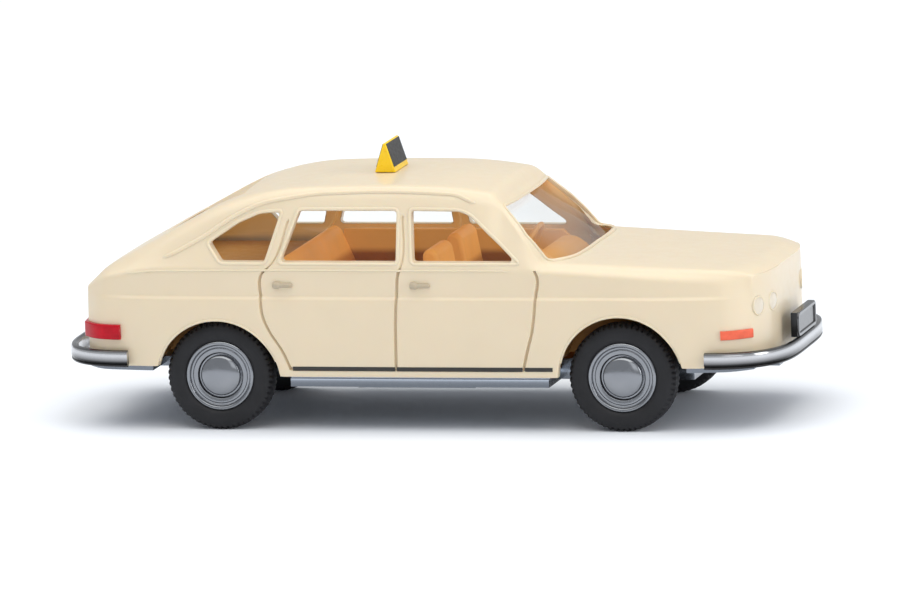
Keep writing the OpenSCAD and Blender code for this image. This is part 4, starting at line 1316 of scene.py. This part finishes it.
# Thickness of its plates, the floor, the door trims, the shelf and the scuttle plate, and its half width
PLATE = 0.42
FLOOR_TOP = SILL + 0.56
TRIM_Y = 0.8 * HALF
TRIM_TOP = GLASS_LOW - 0.02
FRONT_FLOOR_X = FRONT_AXLE_X - FRONT_ARCH - WALL
REAR_FLOOR_X = REAR_AXLE_X + REAR_ARCH + WALL
SHELF_Z = 0.9 * BELT
SCUTTLE_Z = AXLE_Z + FRONT_ARCH + PLATE / 2
INSERT_Y = 0.955 * HALF - WALL
# Wheel housings: inner end, gap to the arch and height of their lower ends above the apron
HOUSING_Y = WHEEL_FACE_Y - TYRE_WIDTH - 1.35
HOUSING_GAP = 0.14
HOUSING_END = 0.35
# Outlines of the seats, bench and dashboard: shares of the wheelbase and of the height from floor to belt
FRONT_SEAT = ((0.501, -0.02), (0.682, -0.02), (0.689, 0.443), (0.675, 0.514), (0.556, 0.457), (0.529, 1.071),
              (0.515, 1.114), (0.497, 1.1), (0.49, 1.043), (0.511, 0.386))
REAR_BENCH = ((0.18, -0.02), (0.341, -0.02), (0.348, 0.414), (0.334, 0.486), (0.236, 0.443), (0.175, 1.02),
              (0.161, 1.063), (0.143, 1.034), (0.15, 0.586))
DASHBOARD = ((0.735, 0.6), (0.806, 0.6), (0.806, 0.87), (0.77, 0.97), (0.735, 0.97), (0.72, 0.9), (0.72, 0.7))
# Half widths of the bench and the dashboard, and the middle and the width of a front seat
BENCH_Y = 0.775 * HALF
DASH_Y = 0.725 * HALF
SEAT_Y = 0.375 * HALF
SEAT_WIDTH = 0.49 * HALF
# Steering wheel: shares of the wheelbase, the half width and the height from floor to belt; its radius; tilt
# of its axis in degrees; thickness of the rim and radius of the hub as shares of its radius; ends of the
# column along the axis; half sizes of the spokes
STEERING_PLACE = (0.678, 0.375, 0.914)
STEERING_RADIUS = 0.2 * HALF
STEERING_TILT = 118
RIM_SHARE = 0.095
HUB_SHARE = 0.2
COLUMN_ENDS = (-0.1, 1.06)
SPOKE_HALF = (0.16, 0.07)


def cabin_outline(points):
    """Outline in the cabin from shares of the wheelbase and of the height from floor to belt."""
    return np.array([(between(u), FLOOR_TOP + w * (BELT - FLOOR_TOP)) for u, w in points])


def housing(x, z, r):
    """Wheel housing: an arched strip over the wheel with its inner side closed by a plate."""
    low = math.asin(max((APRON + HOUSING_END - z) / r, -1))
    inner = arc((x, z), r + HOUSING_GAP, low)
    outer = arc((x, z), r + WALL, low)
    strip = strip_prism(np.concatenate([outer, inner[::-1]]), HOUSING_Y, INSERT_Y)
    return joined(strip, prism(outer, HOUSING_Y, HOUSING_Y + PLATE))


def strip_prism(outline, low, high):
    """Prism over a long bent strip, its two side faces built of four-cornered pieces across the strip."""
    points, faces = prism(outline, low, high)
    n = len(outline)
    i = np.arange(n // 2 - 1)
    side = np.stack([i, i + 1, n - 2 - i, n - 1 - i], 1)
    return points, [faces[0], side[:, ::-1], side + n]


def steering_wheel():
    """Rim, two spokes and column on a tilted axis."""
    tilt = math.radians(STEERING_TILT)
    axis = np.array([math.sin(tilt), 0, math.cos(tilt)])
    along, sideways, up = STEERING_PLACE
    centre = np.array([between(along), sideways * HALF, FLOOR_TOP + up * (BELT - FLOOR_TOP)])
    ring = disc_of(RIM_SHARE * STEERING_RADIUS, 12)
    rim = revolve(np.concatenate([ring, ring[:1]]) + [STEERING_RADIUS, 0], centre, axis, 64)
    column = revolve(rod(HUB_SHARE * STEERING_RADIUS, *COLUMN_ENDS, 0.06), centre, axis, 32)
    across = np.linspace(-STEERING_RADIUS, STEERING_RADIUS, 17)[:, None]
    section = fillet(rectangle(np.negative(SPOKE_HALF), SPOKE_HALF), 0.05, 3)
    spokes = sweep(centre + across * np.array([0, 1.0, 0]), section, up=axis)
    return joined(rim, column, spokes)


class TAXI_OT_cabin(bpy.types.Operator):
    """Caramel cabin insert: floor, door trims, seats, bench, dashboard, shelf, housings and steering wheel"""

    bl_idname = "taxi.cabin"
    bl_label = "Cabin"

    def execute(self, context):
        # Caramel copies with painted glow: darker ones with more glow for trims and fittings, full tone with
        # less for the seats.
        caramel = cabin_plastic("caramel_plastic", 0.6, 0.62)
        seat_finish = cabin_plastic("caramel_seats", 1.0, 0.34)
        # Darker copy with no glow: painted shade on the cabin floor, the rear shelf and the wheel housings.
        painted_shade_caramel = cabin_plastic("caramel_painted_shade", 0.5, 0.0)

        def add(name, shape, bevel, finish=caramel):
            piece(name, shape, finish, "car", ["cabin_insert"], bevel=bevel)

        floor = block((REAR_FLOOR_X, -INSERT_Y, SILL), (FRONT_FLOOR_X, INSERT_Y, FLOOR_TOP))
        add("cabin_floor", floor, 0.08, painted_shade_caramel)
        trim = prism(((REAR_FLOOR_X, SILL), (FRONT_FLOOR_X, SILL), (FRONT_FLOOR_X, SCUTTLE_Z + WALL),
                      (between(0.735), TRIM_TOP), (REAR_FLOOR_X, TRIM_TOP)), TRIM_Y - PLATE, TRIM_Y)
        add("door_trims", both_sides(trim), 0.1)
        seat = fillet(cabin_outline(FRONT_SEAT), 0.45, 5)
        seat = prism(seat, SEAT_Y - SEAT_WIDTH / 2, SEAT_Y + SEAT_WIDTH / 2)
        add("front_seats", both_sides(seat), 0.3, seat_finish)
        bench = fillet(cabin_outline(REAR_BENCH), 0.4, 5)
        add("rear_bench", prism(bench, -BENCH_Y, BENCH_Y), 0.2, seat_finish)
        dash = fillet(cabin_outline(DASHBOARD), 0.4, 5)
        add("dashboard", prism(dash, -DASH_Y, DASH_Y), 0.12)
        shelf = block((behind(0.39), -BENCH_Y, SHELF_Z), (between(0.175), BENCH_Y, SHELF_Z + PLATE))
        add("rear_shelf", shelf, 0.08, painted_shade_caramel)
        scuttle_y = INSERT_Y - WALL
        scuttle = block((COWL_X, -scuttle_y, SCUTTLE_Z), (ahead(0.17), scuttle_y, SCUTTLE_Z + PLATE))
        add("scuttle", scuttle, 0.08)
        housings = joined(*(both_sides(housing(*arch)) for arch in ARCHES))
        add("wheel_housings", housings, 0.05, painted_shade_caramel)
        piece("steering", steering_wheel(), caramel, "car", ["steering_wheel"])
        return {"FINISHED"}


# Base plate

# Height of the base plate's edge below the sill, and its painted light from the lower rim upwards
BASE_EDGE = 0.65
# A painted highlight band along the strip, darker below it and in painted shade up under the sill
PAINTED_BASE_LIGHT = ((0, 0.7), (0.3, 0.9), (0.45, 1.3), (0.6, 2.2), (0.75, 2.4), (0.86, 1.4), (1, 0.9))
# Axles: radius, and depth of their ends in the wheels as a share of the tyre's width
AXLE_RADIUS = 0.5
AXLE_END = 0.42


class TAXI_OT_chassis(bpy.types.Operator):
    """Grey base plate and steel axles"""

    bl_idname = "taxi.chassis"
    bl_label = "Base plate"

    def execute(self, context):
        # Painted highlight and shade in bands up the base plate's edge.
        grey = painted_light_bands("grey_plastic", colours().chassis, "Z", SILL - BASE_EDGE, SILL, PAINTED_BASE_LIGHT)
        base = bpy.data.objects["chassis"]
        base.data.materials.clear()
        base.data.materials.append(grey)
        steel = moulded("steel", colours().steel, rough=(0.2, 0.35), blotch=0.8, metal=1.0)
        reach = WHEEL_FACE_Y - AXLE_END * TYRE_WIDTH
        profile = rod(AXLE_RADIUS, -reach, reach, 0.1)
        for name, x in (("front", FRONT_AXLE_X), ("rear", REAR_AXLE_X)):
            axle = revolve(profile, (x, 0, AXLE_Z), (0, 1, 0), 48)
            piece(name + "_rod", axle, steel, name + "_wheel_set", [name + "_axle"])
        return {"FINISHED"}


# Bumpers and plate block

BUMPER_THICK = 0.5
BUMPER_HIGH = 1.2
BUMPER_TOP = BUMPER_Z + BUMPER_HIGH / 2
BUMPER_LOW = BUMPER_Z - BUMPER_HIGH / 2
# Half width, powers of the plan's boxy oval, sections along the bar and how close they lie at its ends
BUMPER_Y = HALF + 0.15
PLAN_POWER = 4
PLAN_ROUND = 0.455
BUMPER_SECTIONS = 161
END_POWER = 1.8
# Profile: shares of the thickness, from the outer face inwards, and of the height
BUMPER_PROFILE = ((-1, -0.35), (-0.6, -0.5), (-0.12, -0.46), (0, -0.36), (-0.22, -0.3), (0, -0.24), (0, 0.3),
                  (-0.12, 0.44), (-0.6, 0.5), (-1, 0.35))
# Painted reflections and shade on the plating, from the bar's lower edge to its upper one:
# a bright lower lip, a dark band low down, a bright face, and painted shade along the upper edge
PAINTED_BUMPER_LIGHT = ((0, 0.25), (0.05, 0.05), (0.1, 0.03), (0.3, 0.03), (0.37, 0.16), (0.5, 0.36), (0.66, 0.6),
           (0.84, 0.5), (0.91, 0.14), (1, 0.06))
# Painted light on the plate block from its back to its rim: shade on back and sides, a highlight on the rim
PAINTED_PLATE_LIGHT = ((0, 0.03), (0.55, 0.04), (0.66, 0.12), (0.8, 0.13), (0.9, 0.4), (1, 0.6))
# Plate block: depth, width and height; front of its rim; lower edge; share of the depth that the face lies
# behind the front; width and half depth of the rim
PLATE_SIZE = (0.6, 5.6, 1.7)
PLATE_FRONT = TIP_X - 0.1
PLATE_LOW = BUMPER_TOP + 0.02
PLATE_FACE = 0.17
PLATE_RIM = 0.255
RIM_HALF = 0.12


def bumper(start, depth):
    """Bar whose plan is a boxy oval, y = Y s and x = start + D (1 - s^p)^q, with one profile all along."""
    t = np.linspace(-1, 1, BUMPER_SECTIONS)
    s = np.sign(t) * (1 - (1 - np.abs(t)) ** END_POWER)
    profile = fillet(BUMPER_PROFILE, 0.06, 4)
    off = BUMPER_THICK * profile[None, :, 0]
    x = start + (depth + off) * np.clip(1 - s[:, None] ** PLAN_POWER, 0, 1) ** PLAN_ROUND
    y = (BUMPER_Y + off) * s[:, None]
    z = np.broadcast_to(BUMPER_Z + BUMPER_HIGH * profile[None, :, 1], x.shape)
    return tube(np.stack([x, y, z], -1))


def plate_block():
    """Block with a raised rim round a blank face."""
    deep, wide, high = PLATE_SIZE
    top = PLATE_LOW + high
    body = block((PLATE_FRONT - deep, -wide / 2, PLATE_LOW), (PLATE_FRONT - PLATE_FACE * deep, wide / 2, top))
    r = PLATE_RIM / 2
    corners = rectangle((r - wide / 2, PLATE_LOW + r), (wide / 2 - r, top - r))
    corners = [(PLATE_FRONT - RIM_HALF, y, z) for y, z in corners]
    path = resampled(fillet(corners, 0.25, 6), 0.12, closed=True)
    section = fillet(rectangle((-r, -RIM_HALF), (r, RIM_HALF)), 0.06, 4)
    return joined(body, sweep(path, section, up=(1, 0, 0), closed=True))


class TAXI_OT_bumpers(bpy.types.Operator):
    """Silver bumpers and the blank plate block"""

    bl_idname = "taxi.bumpers"
    bl_label = "Bumpers"

    def execute(self, context):
        # Painted reflections and shade on the silver bumpers, in bands up the bar.
        silver = painted_light_bands("silver_plating", colours().silver, "Z", BUMPER_LOW, BUMPER_TOP, PAINTED_BUMPER_LIGHT)
        front_x, rear_x = ahead(0.528), behind(0.542)
        piece("front_bar", bumper(front_x, TIP_X - front_x), silver, "car", ["front_bumper"])
        points, faces = bumper(-rear_x, rear_x - END_X)
        piece("rear_bar", (points * np.array([-1, 1, 1]), faces), silver, "car", ["rear_bumper"])
        # Painted shade on the plate block's back and sides, and a painted highlight on its rim.
        grey = painted_light_bands("plate_grey", colours().silver, "X", TIP_X - PLATE_SIZE[0], TIP_X, PAINTED_PLATE_LIGHT)
        piece("blank_plate", plate_block(), grey, "car", ["plate_block"], bevel=0.05)
        return {"FINISHED"}


# Roof sign

# Place, then depth at the foot, width and height; depth of the ridge as a share of the foot; gap to the roof
SIGN_X = between(0.372)
SIGN_SIZE = (1.5, 3.8, 2.05)
SIGN_RIDGE = 0.06
SIGN_GAP = 0.02
# Printed faces: shares of the slope, margin at the sides, and how deep and how high they lie on the slope
FACE_ENDS = (0.18, 0.97)
FACE_MARGIN = 0.08
FACE_DEEP = 0.02
FACE_HIGH = 0.025


class TAXI_OT_sign(bpy.types.Operator):
    """Yellow roof sign with blank black faces"""

    bl_idname = "taxi.sign"
    bl_label = "Roof sign"

    def execute(self, context):
        deep, wide, high = SIGN_SIZE
        foot, ridge = deep / 2, SIGN_RIDGE * deep
        base = float(above_belt(line_at(TOP_Z, SIGN_X))) + SIGN_GAP
        outline = np.array(((-foot, 0), (foot, 0), (ridge, high), (-ridge, high))) + (SIGN_X, base)
        yellow = moulded("yellow_plastic", colours().yellow, rough=(0.25, 0.35), blotch=1.0, tone=0.06,
                         glow=0.2)
        sign = prism(outline, -wide / 2, wide / 2)
        piece("sign_block", sign, yellow, "car", ["roof_sign"], bevel=0.07)
        panels = []
        for side in (1, -1):
            low = np.array((SIGN_X + side * foot, base))
            slope = np.array((SIGN_X + side * ridge, base + high)) - low
            out = np.array((side * slope[1], -side * slope[0])) / np.linalg.norm(slope)
            a, b = (low + share * slope for share in FACE_ENDS)
            back, front = -FACE_DEEP * out, FACE_HIGH * out
            sheet = (a + back, a + front, b + front, b + back)
            panels.append(prism(sheet, FACE_MARGIN - wide / 2, wide / 2 - FACE_MARGIN))
        black = bpy.data.materials["black_print"]
        piece("sign_faces", joined(*panels), black, "car", ["roof_sign"])
        return {"FINISHED"}


# Lamps

# Headlamps: (share of the half width, turn outwards in degrees), height and radius
LAMPS = ((0.715, 20), (0.49, 13))
LAMP_Z = CREASE - 0.7
LAMP_RADIUS = 0.7
# Lens radius and ring radii as shares of the lamp's; how far the foot, the dome and the ring stand out
LENS_SHARE = 0.84
RING_SHARES = (0.83, 0.92)
LAMP_FOOT = -0.3
DOME_HIGH = 0.12
DOME_DROP = 0.1
RING_HIGH = (0.06, 0.09, 0.02)
# Corner lamps: length along the side as a share of the overhang, share of the end face's half width where
# they end, lower edge, height and depth
TAIL_LAMP = (0.23, 0.7, BUMPER_TOP + 0.7, 1.05, 0.29)
INDICATOR = (0.17, 1, BUMPER_TOP + 0.8, 0.63, 0.175)
# Depth of their backs in the body, and rounding of their edges
LAMP_BACK = 0.1
LAMP_ROUND = 0.09


def corner_path(end_x, reach, share):
    """Plan path along the right side to an end face and round its corner."""
    x = np.linspace(end_x - reach, end_x, 13)
    side = np.stack([x, -HALF * line_at(WAIST_Y, x)], 1)
    s = np.linspace(0.985, share, 24)
    waist = HALF * line_at(WAIST_Y, end_x)
    cap = np.stack([end_x + bow_at(end_x, s), -s * waist], 1)
    return resampled(np.concatenate([side, cap[s < 1]]) if share < 1 else side, 0.12)


def corner_lamp(end_x, reach, share, low, height, depth):
    """Rounded strip that wraps a corner of the body."""
    flat = corner_path(end_x, reach, share)
    path = np.stack([flat[:, 0], flat[:, 1], np.full(len(flat), low + height / 2)], 1)
    half = height / 2
    section = fillet(rectangle((-LAMP_BACK, -half), (depth, half)), LAMP_ROUND, 4)
    section = section * np.array([np.sign(reach), 1])
    return sweep(path, section)


def headlamp(share, turn):
    """Domed lens in a raised ring, turned round its own axis."""
    turn = math.radians(turn)
    axis = np.array([math.cos(turn), math.sin(turn), 0])
    y = share * HALF
    centre = np.array([NOSE_X + bow_at(NOSE_X, share / line_at(WAIST_Y, NOSE_X)), y, LAMP_Z])
    edge = LENS_SHARE * LAMP_RADIUS
    radius = np.linspace(0, edge, 10)
    dome = np.stack([radius, DOME_HIGH - DOME_DROP * (radius / LAMP_RADIUS) ** 2], 1)
    lens = np.concatenate([dome, [(edge, LAMP_FOOT)]])
    inner, crest = (share * LAMP_RADIUS for share in RING_SHARES)
    radii = (inner, inner, crest, LAMP_RADIUS, LAMP_RADIUS)
    heights = (LAMP_FOOT, *RING_HIGH, LAMP_FOOT)
    ring = fillet(np.stack([radii, heights], 1), 0.05, 4, closed=False)
    return revolve(lens, centre, axis, 40), revolve(ring, centre, axis, 40)


class TAXI_OT_lamps(bpy.types.Operator):
    """Headlamps, indicators and tail lamps"""

    bl_idname = "taxi.lamps"
    bl_label = "Lamps"

    def execute(self, context):
        pairs = [headlamp(*lamp) for lamp in LAMPS]
        lens = moulded("lamp_clear", colours().lens, rough=(0.06, 0.12), blotch=0.5, coat=0.5)
        ivory = bpy.data.materials["ivory_plastic"]
        for name, part, finish in (("headlamp_lenses", 0, lens), ("headlamp_rings", 1, ivory)):
            shape = both_sides(joined(*(pair[part] for pair in pairs)))
            piece(name, shape, finish, "car", ["headlamps"])
        reach, *sizes_of_lamp = INDICATOR
        lamp = corner_lamp(NOSE_X, reach * FRONT_OVERHANG, *sizes_of_lamp)
        orange = tinted_lens("orange_lens", colours().orange, 0.12)
        piece("indicators", both_sides(lamp), orange, "car", ["front_indicators"])
        reach, *sizes_of_lamp = TAIL_LAMP
        lamp = corner_lamp(TAIL_X, -reach * REAR_OVERHANG, *sizes_of_lamp)
        red = tinted_lens("red_lens", colours().red, 0.15)
        piece("tail_lights", both_sides(lamp), red, "car", ["tail_lamps"])
        return {"FINISHED"}


# Wheels and tyres

# Radii of the disc and of its cap
DISC = 0.645 * TYRE_RADIUS
CAP = 0.58 * DISC
# Domed cap: depths of its top and of its rim below the top, as shares of the tyre's width
CAP_TOP = 0.01
CAP_DOME = 0.2
# Disc face outside the cap: (radius, share of the tyre's width behind the tyre's face)
DISC_FACE = ((CAP, 0.3), (1.1 * CAP, 0.3), (1.14 * CAP, 0.17), (0.78 * DISC, 0.15), (0.8 * DISC, 0.19),
             (0.86 * DISC, 0.19), (0.89 * DISC, 0.08), (0.95 * DISC, 0.05), (DISC, 0.1), (DISC, 0.92))
# Boss behind the disc: its radius, its bore's radius, its length past the tyre, and the share of the tyre's
# width behind the tyre's face where the bore ends
BOSS = 1.02
BOSS_BORE = 0.505
BOSS_LENGTH = 0.7
BORE_END = 0.4
# Tyre section from the rim's edge over the tread to the inner side: shares of the radius and of the width
TYRE_SECTION = (
    (0.647, 0.1), (0.68, 0.035), (0.72, 0.008), (0.76, 0), (0.82, 0.0), (0.865, 0.012), (0.9, 0.035),
    (0.935, 0.065), (0.962, 0.1), (0.982, 0.15), (0.994, 0.2), (1, 0.26), (1, 0.38), (0.975, 0.4),
    (0.975, 0.42), (1, 0.44), (1, 0.56), (0.975, 0.58), (0.975, 0.6), (1, 0.62), (1, 0.74), (0.994, 0.8),
    (0.982, 0.85), (0.962, 0.9), (0.935, 0.935), (0.88, 1), (0.647, 1),
)
# Lugs: points round each, cosines between which a notch falls, the shoulder's radius and its spread as shares
# of the tyre's, the share of the width kept free on both sides of the middle, and the cut inwards
LUG_POINTS = 6
NOTCH = (0.2, 0.75)
LUG_RADIUS = 0.975
LUG_SPREAD = 0.025
LUG_FREE = 0.2
LUG_INWARD = 0.7


def wheel_disc(x, side):
    """Pressed disc with a domed cap, a dark ring groove and a rim lip, turned round the axle."""
    deep = TYRE_WIDTH
    s = np.linspace(0, 1, 12)
    turn = s * math.pi / 2
    dome = np.stack([CAP * np.sin(turn), deep * (CAP_TOP + CAP_DOME * (1 - np.cos(turn)))], 1)
    face = [(radius, share * deep) for radius, share in DISC_FACE]
    back, end, bore = face[-1][1], deep + BOSS_LENGTH, BORE_END * deep
    boss = [(BOSS, back), (BOSS, end), (BOSS_BORE, end), (BOSS_BORE, bore), (0, bore)]
    profile = np.concatenate([dome, fillet(face + boss, 0.05, 4, closed=False)])
    return revolve(profile, (x, side * WHEEL_FACE_Y, AXLE_Z), (0, -side, 0), 96)


def tyre(x, side):
    """Tyre turned round the axle; its shoulders are cut by evenly spaced lugs, r = R - d * wave(turn)."""
    wide = TYRE_WIDTH
    profile = np.array(TYRE_SECTION) * (TYRE_RADIUS, wide)
    lugs = sizes().lugs
    count = LUG_POINTS * lugs
    turn = np.arange(count) * 2 * math.pi / count
    notch = smooth_step(*NOTCH, np.cos(lugs * turn))[:, None]
    radius, depth = profile.T
    shoulder = np.exp(-((radius / TYRE_RADIUS - LUG_RADIUS) / LUG_SPREAD) ** 2)
    shoulder = shoulder * (np.abs(depth / wide - 0.5) > LUG_FREE)
    cut = sizes().lug_depth / MM * notch * shoulder
    r = radius - cut
    inward = depth + LUG_INWARD * cut * np.sign(0.5 - depth / wide)
    points = np.stack([x + r * np.cos(turn)[:, None], side * (WHEEL_FACE_Y - inward),
                       AXLE_Z + r * np.sin(turn)[:, None]], -1)
    closed = np.concatenate([points, points[:, :1]], axis=1)
    return closed.reshape(-1, 3), [grid_quads(count, closed.shape[1], wrap=True)]


class TAXI_OT_wheels(bpy.types.Operator):
    """Four wheel discs and four tyres"""

    bl_idname = "taxi.wheels"
    bl_label = "Wheels"

    def execute(self, context):
        hub = moulded("wheel_paint", colours().hub, rough=(0.12, 0.2), blotch=1.2, metal=0.95)
        rubber = moulded("rubber", colours().rubber, gloss=0.3, rough=(0.5, 0.65), blotch=1.0, tone=0.15,
                         size=0.15, strength=0.3)
        for end, x in (("front", FRONT_AXLE_X), ("rear", REAR_AXLE_X)):
            for hand, side in (("left", 1), ("right", -1)):
                place = f"{end}_{hand}"
                body = end + "_wheel_set"
                piece("disc_" + place, wheel_disc(x, side), hub, body, ["wheel_" + place])
                piece("rubber_" + place, tyre(x, side), rubber, body, ["tyre_" + place])
        return {"FINISHED"}


# Stage

# Half width of the floor in metres
FLOOR_REACH = 2.0
SKY_COLOUR = (0.93, 0.96, 1.0, 1)
SKY_STRENGTH = 0.6
# Square lights: name, place, point looked at and width in metres, watts, colour
SOFTBOXES = (
    ("key_light", (-0.03, -0.06, 0.6), (0, 0, 0), 0.9, 4.3, (1, 0.985, 0.93)),
    ("side_light", (0.3, -0.6, 0.3), (0, 0, 0.008), 0.35, 0.3, (1, 1, 1)),
    ("nose_light", (0.65, -0.12, 0.22), (0.02, 0, 0.008), 0.3, 1.3, (1, 1, 1)),
)
# The photograph's view: azimuth, elevation and roll in degrees, the point looked at in millimetres, the
# distance in metres, and the lens as pixels of focal length for a picture and a sensor of the given widths
VIEW_ANGLES = (14.18, 9.3, -2.12)
VIEW_TARGET = (0.338, 0, 7.767)
VIEW_DISTANCE = 0.9
FOCAL_PIXELS = 12873
PICTURE_WIDTH = 900
SENSOR_WIDTH = 36


class TAXI_OT_stage(bpy.types.Operator):
    """Pale floor, soft light and the camera at the photograph's angle"""

    bl_idname = "taxi.stage"
    bl_label = "Stage"

    def execute(self, context):
        scene = context.scene
        reach = FLOOR_REACH
        corners = [(x, y, 0) for x, y in rectangle((-reach, -reach), (reach, reach))]
        mesh = bpy.data.meshes.new("floor")
        mesh.from_pydata(corners, [], [(0, 1, 2, 3)])
        floor = bpy.data.objects.new("floor", mesh)
        mesh.materials.append(moulded("floor_paper", colours().floor, rough=(0.7, 0.8), blotch=80, tone=0.01,
                                      size=5, strength=0.02))
        context.collection.objects.link(floor)
        world = bpy.data.worlds.new("studio")
        scene.world = world
        world.use_nodes = True
        sky = world.node_tree.nodes["Background"]
        set_inputs(sky, {"Color": SKY_COLOUR, "Strength": SKY_STRENGTH})
        for light in SOFTBOXES:
            softbox(*light)
        camera(scene)
        scene.view_settings.view_transform = "Standard"
        return {"FINISHED"}


def softbox(name, place, aim, size, watts, colour):
    """Square area light that looks at a point."""
    light = bpy.data.lights.new(name, "AREA")
    light.size = size
    light.energy = watts
    light.color = colour
    obj = bpy.data.objects.new(name, light)
    back = Vector(place) - Vector(aim)
    obj.matrix_world = Matrix.Translation(place) @ back.to_track_quat("Z", "Y").to_matrix().to_4x4()
    bpy.context.collection.objects.link(obj)


def camera(scene):
    """Long lens at the photograph's viewing angle: azimuth, elevation and roll about the line of sight."""
    azimuth, elevation, roll = np.radians(VIEW_ANGLES)
    back = np.array([math.sin(azimuth) * math.cos(elevation), -math.cos(azimuth) * math.cos(elevation),
                     math.sin(elevation)])
    right = np.array([math.cos(azimuth), math.sin(azimuth), 0])
    up = np.cross(back, right)
    turned_right = math.cos(roll) * right + math.sin(roll) * up
    turned_up = -math.sin(roll) * right + math.cos(roll) * up
    data = bpy.data.cameras.new("camera")
    data.sensor_width = SENSOR_WIDTH
    data.lens = SENSOR_WIDTH * FOCAL_PIXELS / PICTURE_WIDTH
    obj = bpy.data.objects.new("camera", data)
    turn = np.eye(4)
    turn[:3, :3] = np.stack([turned_right, turned_up, back], 1)
    turn[:3, 3] = np.array(VIEW_TARGET) * MM + back * VIEW_DISTANCE
    obj.matrix_world = Matrix(turn.tolist())
    bpy.context.collection.objects.link(obj)
    scene.camera = obj


PIECES = (TAXI_OT_body, TAXI_OT_trim, TAXI_OT_glazing, TAXI_OT_cabin, TAXI_OT_chassis, TAXI_OT_bumpers,
          TAXI_OT_sign, TAXI_OT_lamps, TAXI_OT_wheels)


class TAXI_PT_panel(bpy.types.Panel):
    """Sidebar panel that lists the pieces and the settings"""

    bl_idname = "TAXI_PT_panel"
    bl_label = "Scale Model Taxi"
    bl_space_type = "VIEW_3D"
    bl_region_type = "UI"
    bl_category = "Taxi"

    def draw(self, context):
        for operator in (*PIECES, TAXI_OT_stage):
            self.layout.operator(operator.bl_idname)
        for settings in (context.scene.taxi_sizes, context.scene.taxi_colours):
            for name in settings.__annotations__:
                self.layout.prop(settings, name)


CLASSES = (TaxiSizes, TaxiColours, *PIECES, TAXI_OT_stage, TAXI_PT_panel)


def register():
    """Registers the classes and hangs the settings on the scene."""
    for cls in CLASSES:
        bpy.utils.register_class(cls)
    bpy.types.Scene.taxi_sizes = PointerProperty(type=TaxiSizes)
    bpy.types.Scene.taxi_colours = PointerProperty(type=TaxiColours)


def unregister():
    """Takes the settings and classes away again."""
    del bpy.types.Scene.taxi_colours
    del bpy.types.Scene.taxi_sizes
    for cls in reversed(CLASSES):
        bpy.utils.unregister_class(cls)


def main():
    """Builds every piece and the stage."""
    register()
    for operator in (*PIECES, TAXI_OT_stage):
        group, name = operator.bl_idname.split(".")
        getattr(getattr(bpy.ops, group), name)()
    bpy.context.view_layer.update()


if __name__ == "__main__":
    main()
